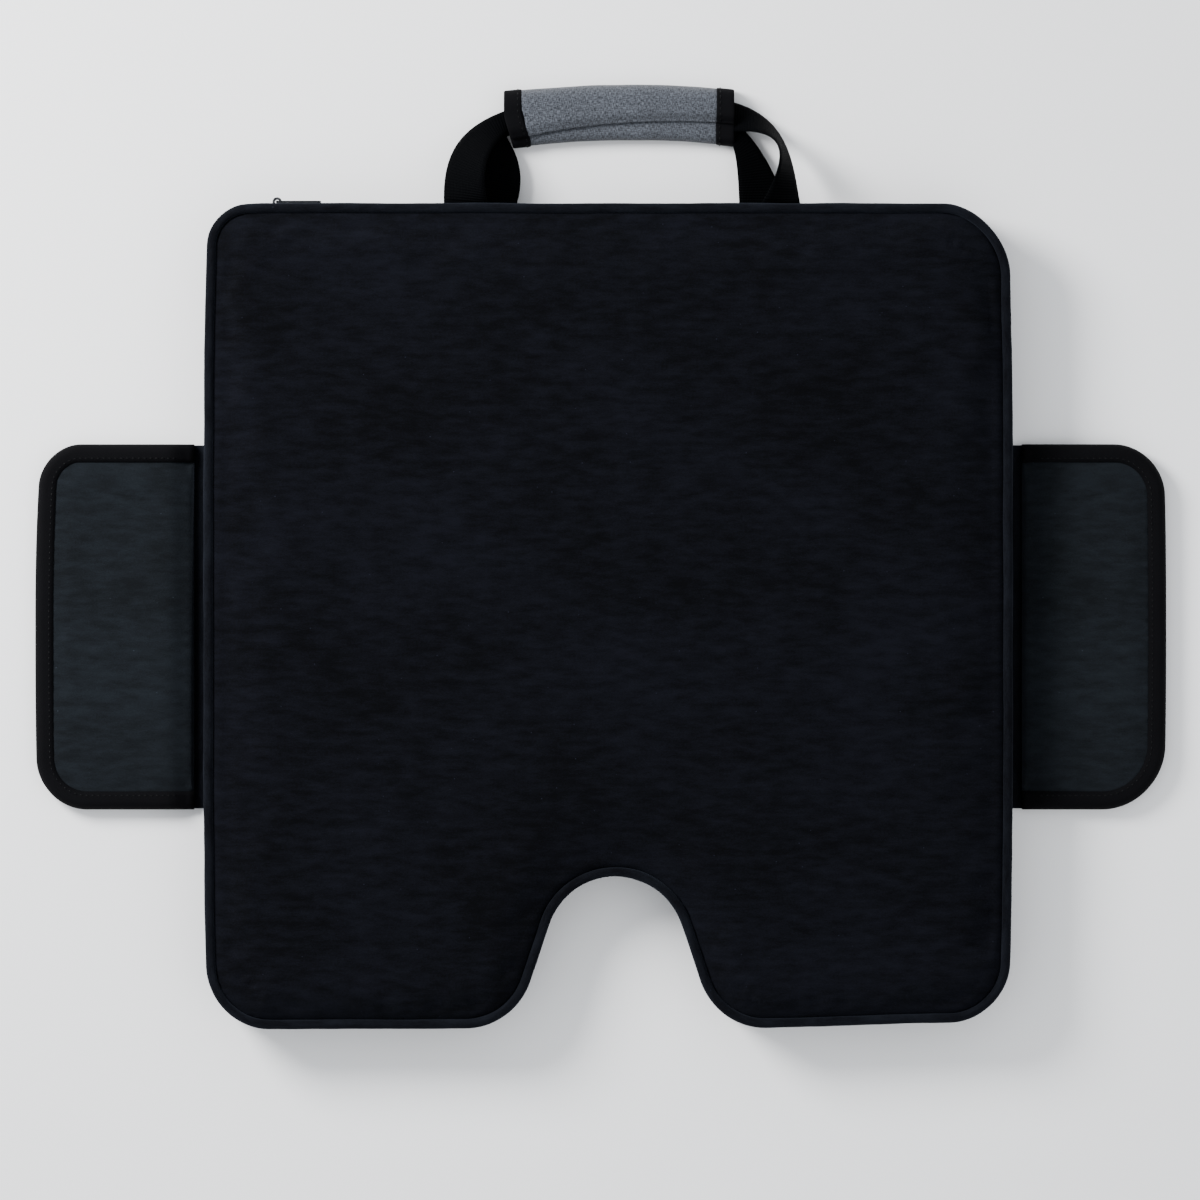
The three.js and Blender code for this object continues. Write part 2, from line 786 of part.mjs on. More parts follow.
function addZip() {
  const zip = new THREE.Group();
  const clear = chainHeight / 2 + gap;
  const upperTape = zipTape(chainMiddle + clear, chainMiddle + clear + tapeHeight);
  const lowerTape = zipTape(chainMiddle - clear - tapeHeight, chainMiddle - clear);
  addPiece(zip, 'zip_tape_upper', upperTape, materials.zipTape);
  addPiece(zip, 'zip_tape_lower', lowerTape, materials.zipTape);
  addPiece(zip, 'zip_chain', chainPiece(chainLeft, chainRight, 0), materials.coil);
  addPiece(zip, 'zip_stop_left', zipStop(chainLeft), materials.metal);
  addPiece(zip, 'zip_stop_right', zipStop(chainRight - stopLength), materials.metal);
  addPiece(zip, 'zip_slider', zipSlider(), materials.metal);
  addPiece(zip, 'zip_pull', zipPull(), materials.metal);
  cushion.add(zip);
}

function addSideFlap(flap) {
  const group = new THREE.Group();
  const add = (piece, geometry, material) => (
    addPiece(group, `${flap.name}_flap_${piece}`, besidePad(geometry, flap.side), material)
  );
  add('top_panel', flapTopPanel(flap), materials.charcoalCloth);
  add('base_panel', flapBasePanel(flap), materials.baseCloth);
  add('foam', flapFoam(flap), materials.foam);
  add('binding', flapBinding(flap), materials.binding);
  add('hinge_web', flapWeb(), materials.binding);
  cushion.add(group);
}

function addHandle() {
  const handle = new THREE.Group();
  addPiece(handle, 'strap_upper', strapUpper(), materials.webbing);
  addPiece(handle, 'strap_lower', strapLower(), materials.webbing);
  addPiece(handle, 'grip_wrap', gripWrap(), materials.heather);
  addPiece(handle, 'grip_padding', gripPad(), materials.foam);
  addPiece(handle, 'grip_loop_strip', overlapStrip(loopLow), materials.hookLoop);
  addPiece(handle, 'grip_hook_strip', overlapStrip(hookLow), materials.hookLoop);
  addPiece(handle, 'grip_flap', gripFlap(), materials.heather);
  for (const end of ['left', 'right']) {
    const wrapBinding = endBinding(wrapSection, end);
    const flapBindingPiece = endBinding(gripFlapSection, end);
    addPiece(handle, `grip_wrap_binding_${end}`, wrapBinding, materials.binding);
    addPiece(handle, `grip_flap_binding_${end}`, flapBindingPiece, materials.binding);
  }
  cushion.add(handle);
}

addPad();
addZip();
flapSides.forEach(addSideFlap);
addHandle();

export default cushion;
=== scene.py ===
"""The looks of a tailbone seat cushion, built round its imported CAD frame.

Lengths are in millimetres until a mesh is made, and +Y points to the carry handle. Sizes
come from the boxes of the CAD nodes; the rest are named where they are first needed.
"""
import math

import bmesh
import bpy
import numpy as np
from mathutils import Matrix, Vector, kdtree, noise
from mathutils.bvhtree import BVHTree
from mathutils.geometry import delaunay_2d_cdt


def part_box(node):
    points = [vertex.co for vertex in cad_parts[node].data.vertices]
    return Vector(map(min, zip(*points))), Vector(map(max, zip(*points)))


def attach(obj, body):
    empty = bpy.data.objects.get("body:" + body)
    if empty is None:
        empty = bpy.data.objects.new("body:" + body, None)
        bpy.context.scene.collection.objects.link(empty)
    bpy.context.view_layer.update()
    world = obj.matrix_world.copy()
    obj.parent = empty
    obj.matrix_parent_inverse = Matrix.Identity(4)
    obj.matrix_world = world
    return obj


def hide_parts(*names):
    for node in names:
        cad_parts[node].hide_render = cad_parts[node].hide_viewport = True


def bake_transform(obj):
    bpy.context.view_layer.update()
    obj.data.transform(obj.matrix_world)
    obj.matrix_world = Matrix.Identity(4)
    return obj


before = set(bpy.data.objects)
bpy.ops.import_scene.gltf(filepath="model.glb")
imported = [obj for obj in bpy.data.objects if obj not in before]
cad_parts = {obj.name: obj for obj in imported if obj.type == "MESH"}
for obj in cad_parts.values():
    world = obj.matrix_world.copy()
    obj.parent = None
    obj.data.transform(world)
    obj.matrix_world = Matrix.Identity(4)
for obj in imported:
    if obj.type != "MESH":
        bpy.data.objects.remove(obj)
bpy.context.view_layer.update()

MM = 0.001
THREAD_MAP = "thread"           # each piece's own cloth directions, in metres


def box(node):
    """A CAD node's lowest and highest corner, in millimetres."""
    low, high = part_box(node)
    return np.array(low) / MM, np.array(high) / MM


# ---- sizes from the frame

piping_low, piping_high = box("top_piping")
left, back = piping_low[:2]
right, front = piping_high[:2]
piping_radius = (piping_high[2] - piping_low[2]) / 2
top_seam = piping_low[2] + piping_radius
bottom_seam = sum(corner[2] for corner in box("bottom_piping")) / 2
panel_low, panel_high = box("top_panel")
seam_inset = panel_low[0] - left
crown_top = panel_high[2]
boxing_low, boxing_high = box("boxing_band")
boxing_inset = boxing_low[0] - left
strip_low, strip_high = box("boxing_strip_lower")
cloth = strip_high[1] - strip_low[1]
foam_low = box("foam_core")[0]

# What the boxes do not say: the round corners and the tailbone cutout.
corner_radius = {"front_left": 21, "front_right": 38, "back_left": 34, "back_right": 33}
cutout_centre = 4
cutout_depth = 83
cutout_radius = 38
cutout_flare = 18.4             # degrees each leg opens from straight
lip_radius = 38
crown_run = 15                  # how far the top rises inwards from its seam
tuck = 0.9                      # how far a cloth edge runs into the piping at its seam


# ---- small helpers

def smooth(value, start, end):
    """0 before start, 1 after end, and an even turn between them."""
    share = np.clip((value - start) / (end - start), 0, 1)
    return share * share * (3 - 2 * share)


seed_step = (7.3, 3.1, 5.7)     # how far apart two seeds lie in the noise


def waver(points, size, seed):
    """Smooth noise from -1 to 1 at each point, with swells about that size."""
    offset = Vector([seed * step for step in seed_step])
    return np.array([noise.noise(Vector(p) / size + offset) for p in points])


def in_2d(sideways, heights):
    """Points of a section from their places and heights."""
    return np.column_stack(np.broadcast_arrays(sideways, heights))


def in_3d(flat, height):
    """Points on a plan with their heights."""
    return np.column_stack([flat, np.broadcast_to(height, len(flat))])


def swells(places, *waves):
    """Waves in cloth, added together: each has its height, its size and its seed."""
    return sum(height * waver(places, size, seed) for height, size, seed in waves)


def unit(vectors):
    """The same directions, each with a length of 1."""
    return vectors / np.linalg.norm(vectors, axis=-1, keepdims=True)


def circles(aside, up, sides):
    """Points of a circle with a radius of 1 round each place, from its two directions."""
    angles = np.arange(sides)[:, None] * math.tau / sides
    return aside[..., None, :] * np.cos(angles) + up[..., None, :] * np.sin(angles)


def stand_in(piece, node):
    """Hides the CAD node that a piece is shown for, and gives the piece back."""
    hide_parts(node)
    return piece


def made_mesh(name, points, faces, threads, material, body, closed=True):
    """A piece from its points and faces, with a place in the cloth for each corner of
    each face. It rides on the body unless that is None."""
    mesh = bpy.data.meshes.new(name)
    mesh.from_pydata((points * MM).tolist(), [], faces)
    mesh.uv_layers.new(name=THREAD_MAP).data.foreach_set("uv", (threads * MM).ravel())
    if closed:
        face_outwards(mesh)
    mesh.materials.append(material)
    mesh.shade_smooth()
    piece = bpy.data.objects.new(name, mesh)
    bpy.context.scene.collection.objects.link(piece)
    if body:
        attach(piece, body)
    return piece


def lengths_along(points, closed):
    """Distances from the first point to each one, and once more to the first if closed."""
    if closed:
        points = np.concatenate([points, points[:1]])
    steps = np.linalg.norm(np.diff(points, axis=0), axis=-1)
    return np.concatenate([[0], np.cumsum(steps)])


def lofted(name, rows, material, body=None, ring_path=False):
    """A closed mesh through rows of points, where rows[i][j] is point j of section i.
    Its thread map runs along the rows and round the sections."""
    count, around = rows.shape[:2]
    i, j = np.meshgrid(
        np.arange(count if ring_path else count - 1),
        np.arange(around),
        indexing="ij",
    )
    i, j = i.ravel(), j.ravel()
    steps = ((0, 0), (1, 0), (1, 1), (0, 1))
    quads = np.stack(
        [((i + a) % count) * around + (j + b) % around for a, b in steps], axis=1
    )
    along = lengths_along(rows.mean(axis=1), ring_path)
    across = lengths_along(rows[count // 2], True)
    threads = np.stack([np.stack([along[i + a], across[j + b]], 1) for a, b in steps], 1)
    faces = quads.tolist()
    threads = threads.reshape(-1, 2)
    if not ring_path:
        faces.append(list(range(around)))
        faces.append(list(range((count - 1) * around, count * around)))
        threads = np.concatenate([threads, np.zeros((2 * around, 2))])
    return made_mesh(name, rows.reshape(-1, 3), faces, threads, material, body)


def face_outwards(mesh):
    """Turns every face of a closed mesh to look outwards."""
    work = bmesh.new()
    work.from_mesh(mesh)
    bmesh.ops.recalc_face_normals(work, faces=work.faces)
    work.to_mesh(mesh)
    work.free()


def band(line, thickness):
    """The outline of a strip of cloth of that thickness along a line in a section."""
    line = np.asarray(line, float)
    along = unit(np.gradient(line, axis=0))
    aside = np.column_stack([-along[:, 1], along[:, 0]]) * thickness / 2
    return np.concatenate([line + aside, (line - aside)[::-1]])


def arc(centre, radii, start, end, steps=8):
    """Points of a round stretch, from one angle to another in degrees."""
    angles = np.radians(np.linspace(start, end, steps + 1))
    return np.array(centre) + np.column_stack([np.cos(angles), np.sin(angles)]) * radii


def panel(name, edge, inner, height, thickness, material, body):
    """A sheet inside a closed edge seen from above, with the inner points as its net.
    height(points) gives its upper face."""
    count = len(edge)
    points = [Vector(p) for p in np.concatenate([edge, inner])]
    ring = [(i, (i + 1) % count) for i in range(count)]
    made = delaunay_2d_cdt(points, ring, [], 1, 1e-5)
    flat = np.array([tuple(p) for p in made[0]])
    threads = np.array([flat[v] for face in made[2] for v in face])
    upper = in_3d(flat, height(flat))
    piece = made_mesh(name, upper, made[2], threads, material, body, closed=False)
    solid = piece.modifiers.new("cloth", "SOLIDIFY")
    solid.thickness = thickness * MM
    solid.offset = -1
    return piece


def net(low, high, spacing):
    """Staggered points over a rectangle, each row shifted by half a step."""
    xs = np.arange(low[0], high[0], spacing)
    ys = np.arange(low[1], high[1], spacing * math.sin(math.radians(60)))
    shift = (np.arange(len(ys)) % 2) * spacing / 2
    return np.array([(x + d, y) for y, d in zip(ys, shift) for x in xs])


class Edge:
    """A line seen from above that says how far inside it other points lie."""

    def __init__(self, points, outward):
        self.points = np.array(points)
        self.outward = np.array(outward)
        self.tree = kdtree.KDTree(len(points))
        for i, p in enumerate(points):
            self.tree.insert((*p, 0), i)
        self.tree.balance()

    def inset(self, points):
        """How far inside the line each point lies."""
        nearest = [self.tree.find((x, y, 0))[1] for x, y in points]
        away = self.points[nearest] - points
        return (away * self.outward[nearest]).sum(axis=1)

    def ring(self, inset):
        """The line moved inwards by the inset."""
        return self.points - self.outward * inset


# ---- stuffed shapes

PIN = "held"


def remeshed(piece, voxel):
    """Gives a piece an even net of faces of about that size."""
    cells = piece.modifiers.new("even_net", "REMESH")
    cells.mode = "VOXEL"
    cells.voxel_size = voxel * MM
    keep_modified_mesh(piece)


def keep_modified_mesh(piece):
    """Applies what the modifiers make of a piece and takes them off it."""
    shown = piece.evaluated_get(bpy.context.evaluated_depsgraph_get())
    mesh = bpy.data.meshes.new_from_object(shown)
    piece.modifiers.clear()
    piece.data = mesh


def vertex_array(mesh):
    """A mesh's points as rows of three, in metres."""
    co = np.empty(len(mesh.vertices) * 3)
    mesh.vertices.foreach_get("co", co)
    return co.reshape(-1, 3)


def reshaped(piece, change):
    """Moves a mesh's points, which the change takes and gives in millimetres."""
    co = change(vertex_array(piece.data) / MM) * MM
    piece.data.vertices.foreach_set("co", co.ravel())
    piece.data.update()


def puffed(piece, held, furthest, frames=20, pressure=4, spare_cloth=0.02):
    """Blows a closed body up as cloth. Vertices where held(points) is true stay, and the
    others move no further than that. The result is kept on its mesh."""
    start = vertex_array(piece.data)
    group = piece.vertex_groups.new(name=PIN)
    group.add(np.flatnonzero(held(start / MM)).tolist(), 1, "REPLACE")
    puff = piece.modifiers.new("puff", "CLOTH")
    puff.settings.vertex_group_mass = PIN
    puff.settings.use_pressure = True
    puff.settings.uniform_pressure_force = pressure
    puff.settings.shrink_min = -spare_cloth
    puff.settings.effector_weights.gravity = 0
    puff.point_cache.frame_end = frames
    for number in range(1, frames + 1):
        bpy.context.scene.frame_set(number)
    keep_modified_mesh(piece)
    bpy.context.scene.frame_set(1)
    moved = vertex_array(piece.data) - start
    far = np.linalg.norm(moved, axis=1, keepdims=True) / (furthest * MM)
    moved /= np.maximum(far, 1)
    piece.data.vertices.foreach_set("co", (start + moved).ravel())
    piece.data.update()


def upper_face(piece):
    """A function that gives the height of a piece's upper side above points."""
    work = bmesh.new()
    work.from_mesh(piece.data)
    tree = BVHTree.FromBMesh(work)
    work.free()
    down = Vector((0, 0, -1))

    def height(points, missing):
        found = [tree.ray_cast(Vector((x, y, 100)) * MM, down)[0] for x, y in points]
        return np.array([f.z / MM if f else m for f, m in zip(found, missing)])

    return height


# ---- materials

def srgb(red, green, blue):
    """A colour picked by its 0 to 255 screen values, as the linear one that nodes take."""
    shares = (value / 255 for value in (red, green, blue))
    linear = [s / 12.92 if s <= 0.04045 else ((s + 0.055) / 1.055) ** 2.4 for s in shares]
    return (*linear, 1)


class Recipe:
    """One material's node tree, with a short way to add nodes to it."""

    def __init__(self, name):
        self.material = bpy.data.materials.new(name)
        self.material.use_nodes = True
        self.tree = self.material.node_tree
        self.shader = self.tree.nodes["Principled BSDF"]

    def add(self, kind, inputs=(), output=0, **settings):
        """A new node's output. Each input is given a plain value or another output."""
        made = self.tree.nodes.new("ShaderNode" + kind)
        for key, value in settings.items():
            setattr(made, key, value)
        for socket, value in dict(inputs).items():
            self.put(made, socket, value)
        return made.outputs[output]

    def put(self, target, socket, value):
        if isinstance(value, bpy.types.NodeSocket):
            self.tree.links.new(value, target.inputs[socket])
        else:
            target.inputs[socket].default_value = value

    def set(self, **inputs):
        """Sets the shader's sockets, named with _ for each space."""
        for socket, value in inputs.items():
            self.put(self.shader, socket.replace("_", " "), value)

    def threads(self, stretch=(1, 1, 1)):
        """The cloth's own directions in millimetres, squeezed by the stretch."""
        place = self.add("UVMap", uv_map=THREAD_MAP)
        scale = tuple(1 / (MM * s) for s in stretch)
        return self.add("Mapping", {"Vector": place, "Scale": scale})

    def solid(self, stretch=(1, 1, 1)):
        """The place in the object in millimetres, squeezed by the stretch."""
        place = self.add("TexCoord", output="Object")
        scale = tuple(1 / (MM * s) for s in stretch)
        return self.add("Mapping", {"Vector": place, "Scale": scale})

    def noise(self, place, size, detail=3, roughness=0.55):
        inputs = {"Vector": place, "Scale": 1 / size, "Detail": detail, "Roughness": roughness}
        return self.add("TexNoise", inputs)

    def math(self, operation, a, b=0.0):
        return self.add("Math", {0: a, 1: b}, operation=operation)

    def spread(self, value, low, high, to_low=0.0, to_high=1.0):
        """The value's range from low to high stretched over another one."""
        inputs = {0: value, 1: low, 2: high, 3: to_low, 4: to_high}
        return self.add("MapRange", inputs)

    def ranged(self, value, to_low, to_high):
        """The range that a noise mostly keeps to, stretched over another one."""
        return self.spread(value, 0.3, 0.7, to_low, to_high)

    def shared(self, a, b, share):
        """That share of a, and the rest of b."""
        parts = self.math("MULTIPLY", a, share), self.math("MULTIPLY", b, 1 - share)
        return self.math("ADD", *parts)

    def mix(self, share, a, b):
        return self.add("Mix", {0: share, 6: a, 7: b}, output=2, data_type="RGBA")

    def bump(self, height, depth, strength=1.0):
        """Normals of a relief that many millimetres deep."""
        inputs = {"Height": height, "Distance": depth * MM, "Strength": strength}
        return self.add("Bump", inputs)

    def surface(self, tone, colours, grain, roughness, specular, relief, **others):
        """Sets the shader: the tone picks the colour and the grain the roughness. The
        relief is a height, its depth in millimetres and its strength."""
        self.set(
            Base_Color=self.mix(tone, *colours),
            Roughness=self.ranged(grain, *roughness),
            Specular_IOR_Level=specular,
            Normal=self.bump(*relief),
            **others,
        )
        return self.material

    def weave(self, pitch):
        """Over-and-under threads of a plain weave: 1 on a thread's back, 0 between."""
        place = self.threads((pitch, pitch, 1))
        parts = self.add("SeparateXYZ", {0: place})
        x, y = parts, parts.node.outputs[1]
        turns = [self.math("SINE", self.math("MULTIPLY", part, math.tau)) for part in (x, y)]
        product = self.math("MULTIPLY", *turns)
        return self.spread(product, -1, 1)

    def ribs(self, pitch, axis=0, slant=0.0):
        """Raised ribs across one thread direction, leaning by the slant."""
        parts = self.add("SeparateXYZ", {0: self.threads((pitch, pitch, 1))})
        x, y = parts, parts.node.outputs[1]
        run, side = (x, y) if axis == 0 else (y, x)
        leaning = self.math("ADD", run, self.math("MULTIPLY", side, slant))
        return self.spread(self.math("SINE", self.math("MULTIPLY", leaning, math.tau)), -1, 1)


def napped_cloth(name, dark, light, fibre_size, specular, sheen):
    """Brushed synthetic cloth: short fibres, brushed patches along the roll, faint lint."""
    made = Recipe(name)
    brushed = made.noise(made.threads((3.2, 1, 1)), 5, detail=5, roughness=0.65)
    broad = made.noise(made.threads((1.4, 1, 1)), 75, detail=2)
    fibres = made.noise(made.threads((1.8, 1, 1)), fibre_size, detail=3, roughness=0.7)
    tone = made.shared(made.shared(brushed, fibres, 0.55), broad, 0.75)
    colour = made.mix(made.spread(tone, 0.42, 0.60), dark, light)
    specks = made.add("TexVoronoi", {"Vector": made.threads(), "Scale": 1 / 9})
    lint = made.spread(specks, 0.045, 0.02)
    lint_colour = tuple(min(1, 3 * part) for part in light[:3]) + (1,)
    return made.surface(
        lint, (colour, lint_colour), fibres, (0.86, 1.0), specular, (fibres, 0.35, 0.5),
        Sheen_Weight=sheen, Sheen_Roughness=0.55, Sheen_Tint=(0.6, 0.72, 1.0, 1),
    )


def woven_tape(name, dark, light, pitch, slant, depth, roughness, specular=0.2):
    """Ribbed narrow fabric, such as webbing, binding or zip tape."""
    made = Recipe(name)
    ribs = made.ribs(pitch, 0, slant)
    weft = made.ribs(pitch * 0.6, 1)
    relief = made.shared(ribs, weft, 0.65)
    fuzz = made.noise(made.threads(), 0.6, detail=3)
    worn = made.noise(made.threads((3, 1, 1)), 12)
    # The colour follows the ribs' height: painted shade in the valleys between ribs, lighter on
    # their tops, with worn patches at random.
    tone = made.math("MULTIPLY", relief, made.ranged(worn, 0.55, 1.0))
    height = made.math("ADD", relief, made.math("MULTIPLY", fuzz, 0.4))
    evenness = (roughness - 0.08, roughness + 0.08)
    return made.surface(tone, (dark, light), fuzz, evenness, specular, (height, depth, 0.8))


def heather_cloth(name):
    """Grey melange canvas: a plain weave of mixed light and dark yarns."""
    made = Recipe(name)
    threads = made.threads()
    weave = made.weave(0.7)
    slubs_along = made.noise(made.threads((4, 1, 1)), 0.5, detail=3)
    slubs_across = made.noise(made.threads((1, 4, 1)), 0.5, detail=3)
    yarns = made.mix(weave, slubs_along, slubs_across)
    tone = made.spread(yarns, 0.39, 0.61)
    dark, light = srgb(22, 25, 30), srgb(89, 93, 101)
    shade = made.spread(weave, 0, 1, 0.72, 1.0)
    broad = made.ranged(made.noise(threads, 26), 0.9, 1.06)
    colour = made.mix(tone, dark, light)
    shaded = made.add(
        "VectorMath",
        {0: colour, 3: made.math("MULTIPLY", shade, broad)},
        operation="SCALE",
    )
    fuzz = made.noise(threads, 0.35, detail=2)
    made.set(
        Base_Color=shaded,
        Roughness=made.ranged(fuzz, 0.8, 0.95),
        Specular_IOR_Level=0.2,
        Sheen_Weight=0.12,
        Sheen_Roughness=0.5,
        Normal=made.bump(made.math("ADD", weave, fuzz), 0.16, 0.8),
    )
    return made.material


def foam_material(name):
    """Open-celled foam: pits of two sizes, slightly yellowed."""
    made = Recipe(name)
    place = made.solid()
    cells = made.add("TexVoronoi", {"Vector": place, "Scale": 1 / 1.1})
    fine = made.noise(place, 0.5)
    aged = made.noise(place, 60)
    colours = srgb(214, 208, 186), srgb(232, 228, 214)
    relief = (made.math("ADD", cells, fine), 0.5, 0.7)
    return made.surface(aged, colours, fine, (0.85, 1.0), 0.2, relief)


def rubber_material(name):
    """Soft black rubber print with a dusty bloom."""
    made = Recipe(name)
    place = made.solid()
    bloom = made.noise(place, 5)
    pores = made.noise(place, 0.4)
    colours = srgb(17, 17, 18), srgb(36, 36, 38)
    return made.surface(bloom, colours, bloom, (0.5, 0.7), 0.35, (pores, 0.1, 0.4))


def hook_material(name, dark, light, size):
    """Hook or loop pile of a closing strip."""
    made = Recipe(name)
    place = made.threads()
    pile = made.add("TexVoronoi", {"Vector": place, "Scale": 1 / size})
    fuzz = made.noise(place, size / 2)
    relief = (made.math("SUBTRACT", fuzz, pile), 0.5, 0.9)
    return made.surface(fuzz, (dark, light), fuzz, (0.6, 0.85), 0.25, relief)


def metal_material(name):
    """Black-plated zinc, worn bright where it rubs."""
    made = Recipe(name)
    place = made.solid()
    wear = made.noise(place, 2.5, detail=5, roughness=0.7)
    scratches = made.noise(made.solid((8, 1, 1)), 0.35)
    worn = made.spread(wear, 0.56, 0.72)
    made.set(
        Base_Color=made.mix(worn, srgb(46, 47, 50), srgb(128, 129, 132)),
        Metallic=1.0,
        Roughness=made.ranged(scratches, 0.28, 0.5),
        Normal=made.bump(scratches, 0.04, 0.3),
    )
    return made.material


def nylon_material(name, dark, light, specular):
    """Moulded or drawn nylon: slightly glossy, with draw lines."""
    made = Recipe(name)
    lines = made.noise(made.threads((6, 1, 1)), 0.5)
    relief = (lines, 0.03, 0.4)
    return made.surface(lines, (dark, light), lines, (0.32, 0.5), specular, relief)


def floor_material():
    """The pale, nearly even floor of a studio."""
    made = Recipe("studio_floor")
    tone = made.noise(made.solid(), 400)
    made.set(
        Base_Color=made.mix(tone, (0.86, 0.86, 0.87, 1), (0.9, 0.9, 0.9, 1)),
        Roughness=made.ranged(tone, 0.75, 0.85),
        Specular_IOR_Level=0.1,
    )
    return made.material


nap = napped_cloth("nap_cloth", srgb(1, 1, 2), srgb(9, 10, 16), 0.7, 0.05, 0.022)
# The top's nap, painted lighter all round as a highlight from the key light on the piping, sides
# and hinge webs.
side_nap_painted_highlight = napped_cloth("side_nap_cloth_painted_highlight", srgb(2, 2, 4), srgb(13, 15, 20), 0.7, 0.05, 0.025)
charcoal = napped_cloth("charcoal_cloth", srgb(7, 9, 11), srgb(18, 22, 26), 0.6, 0.08, 0.04)
lining = woven_tape("base_cloth", srgb(7, 8, 10), srgb(24, 25, 28), 0.9, 0, 0.12, 0.8)
binding_tape = woven_tape("binding_tape", srgb(2, 2, 3), srgb(9, 9, 12), 0.8, 0.5, 0.15, 0.8, 0.05)
webbing = woven_tape("nylon_webbing", srgb(0, 0, 1), srgb(3, 4, 5), 1.5, 0, 0.35, 0.7, 0.02)
zip_cloth = woven_tape("zip_tape", srgb(6, 6, 8), srgb(20, 20, 24), 0.9, 1, 0.15, 0.65)
heather = heather_cloth("heather_cloth")
foam = foam_material("pale_foam")
rubber = rubber_material("grip_dots")
hooks = hook_material("hook_strip", srgb(10, 10, 11), srgb(38, 38, 40), 0.9)
loops = hook_material("loop_strip", srgb(8, 8, 9), srgb(30, 30, 33), 0.6)
metal = metal_material("black_plated_metal")
coil_nylon = nylon_material("zip_coil", srgb(10, 10, 12), srgb(30, 30, 34), 0.5)
thread = nylon_material("sewing_thread", srgb(1, 1, 2), srgb(5, 6, 8), 0.08)


# ---- stitches

stitch_pitch = 3.2
stitch_length = 2.3
stitch_radius = 0.32
stitch_sides = 6


def stitches(name, path, facing, body=None):
    """A row of lock stitches along a path of points; facing is the way the cloth looks."""
    run = lengths_along(path, False)
    count = max(2, int(run[-1] / stitch_pitch))
    middle = (np.arange(count) + 0.5) * run[-1] / count
    shares = np.array([-0.5, -0.35, 0, 0.35, 0.5])
    rise = np.array([-1.2, 0.1, 0.55, 0.1, -1.2]) * stitch_radius
    thick = np.array([0.5, 0.9, 1, 0.9, 0.5]) * stitch_radius
    at = middle[:, None] + shares * stitch_length
    places = np.stack([np.interp(at, run, path[:, k]) for k in range(3)], axis=-1)
    up = np.stack([np.interp(middle, run, facing[:, k]) for k in range(3)], axis=-1)
    up = unit(up)
    aside = np.cross(unit(places[:, -1] - places[:, 0]), up)
    around = circles(aside, up, stitch_sides)[:, None]
    centres = places + up[:, None] * rise[:, None]
    rings = centres[:, :, None] + around * thick[:, None, None]
    row = many_tubes(name, rings, thread, body)
    return row


def many_tubes(name, tubes, material, body):
    """One mesh of many short tubes with closed ends, all with the same count of points."""
    number, rings, around = tubes.shape[:3]
    size = rings * around
    pattern = []
    for low in range(0, size - around, around):
        for side in range(around):
            beside = (side + 1) % around
            pattern.append((low + side, low + around + side, low + around + beside, low + beside))
    pattern += [range(around), range(size - around, size)]
    every = [[v + size * n for v in face] for n in range(number) for face in pattern]
    points = tubes.reshape(-1, 3)
    threads = np.array([points[v][:2] for face in every for v in face])
    return made_mesh(name, points, every, threads, material, body)


# ---- the pad's outline

outline_spacing = 3


def pad_turns():
    """The outline's round stretches, anticlockwise from the handle edge's left end."""
    flare = math.radians(cutout_flare)
    leg = 90 - cutout_flare
    arch_y = back + cutout_depth - cutout_radius
    leg_top = arch_y + cutout_radius * math.sin(flare)
    lip_y = back + lip_radius
    slant = (lip_radius + (leg_top - lip_y) * math.sin(flare)) / math.cos(flare)
    reach = cutout_radius * math.cos(flare) + slant

    def corner(x, y, name, start):
        radius = corner_radius[name]
        inward = [math.copysign(radius, -value) for value in (x, y)]
        return (x + inward[0], y + inward[1], radius, start, start + 90)

    return [
        corner(left, front, "front_left", 180),
        corner(left, back, "back_left", -90),
        (cutout_centre - reach, lip_y, lip_radius, 0, leg),
        (cutout_centre, arch_y, cutout_radius, leg, -leg),
        (cutout_centre + reach, lip_y, lip_radius, -leg, 0),
        corner(right, back, "back_right", 0),
        corner(right, front, "front_right", 90),
    ]


def evenly(points, outward, spacing):
    """The same line with points added where its straight stretches have none."""
    filled, facing = [points[0]], [outward[0]]
    for before, after, out in zip(points[:-1], points[1:], outward[1:]):
        steps = max(1, round(np.linalg.norm(after - before) / spacing))
        for step in range(1, steps + 1):
            filled.append(before + (after - before) * step / steps)
            facing.append(out)
    return np.array(filled), np.array(facing)


def round_stretches(turns, spacing):
    """Points and outward directions of the turns, one after the other."""
    points, outward = [], []
    for x, y, radius, start, end in turns:
        steps = math.ceil(radius * math.radians(abs(end - start)) / spacing)
        for heading in np.radians(np.linspace(start, end, steps + 1)):
            out = np.array([math.sin(heading), -math.cos(heading)])
            points.append(np.array([x, y]) + math.copysign(radius, end - start) * out)
            outward.append(out)
    return points, outward


side_points, side_outward = round_stretches(pad_turns(), outline_spacing)
front_points, front_outward = evenly(
    np.array([side_points[-1], side_points[0]]),
    np.array([side_outward[-1], side_outward[0]]),
    outline_spacing,
)
side_points, side_outward = evenly(side_points, side_outward, outline_spacing)
rim = Edge(
    np.concatenate([side_points, front_points[1:-1]]),
    np.concatenate([side_outward, front_outward[1:-1]]),
)

# How sewing and the foam leave the plan: the sides draw in towards their ends, and the
# right back lobe is a little shorter than the left one.
side_draw = 2.6
lobe_lift = 3.4
corner_draw = 1.6


def settled(points):
    """Points of the pad moved as its sewing leaves them."""
    x, y = points[..., 0], points[..., 1]
    moved = points.copy()
    reach = smooth(np.abs(x), 0.65 * right, right) * (np.abs(y) / front) ** 4
    moved[..., 0] -= np.sign(x) * side_draw * reach
    lift = smooth(x, 0.25 * right, 0.9 * right) * smooth(-y, 0.5 * front, front)
    moved[..., 1] += lobe_lift * lift
    moved[..., 1] -= corner_draw * smooth(np.abs(x), 0.85 * right, right) * smooth(y, 0, front)
    return moved


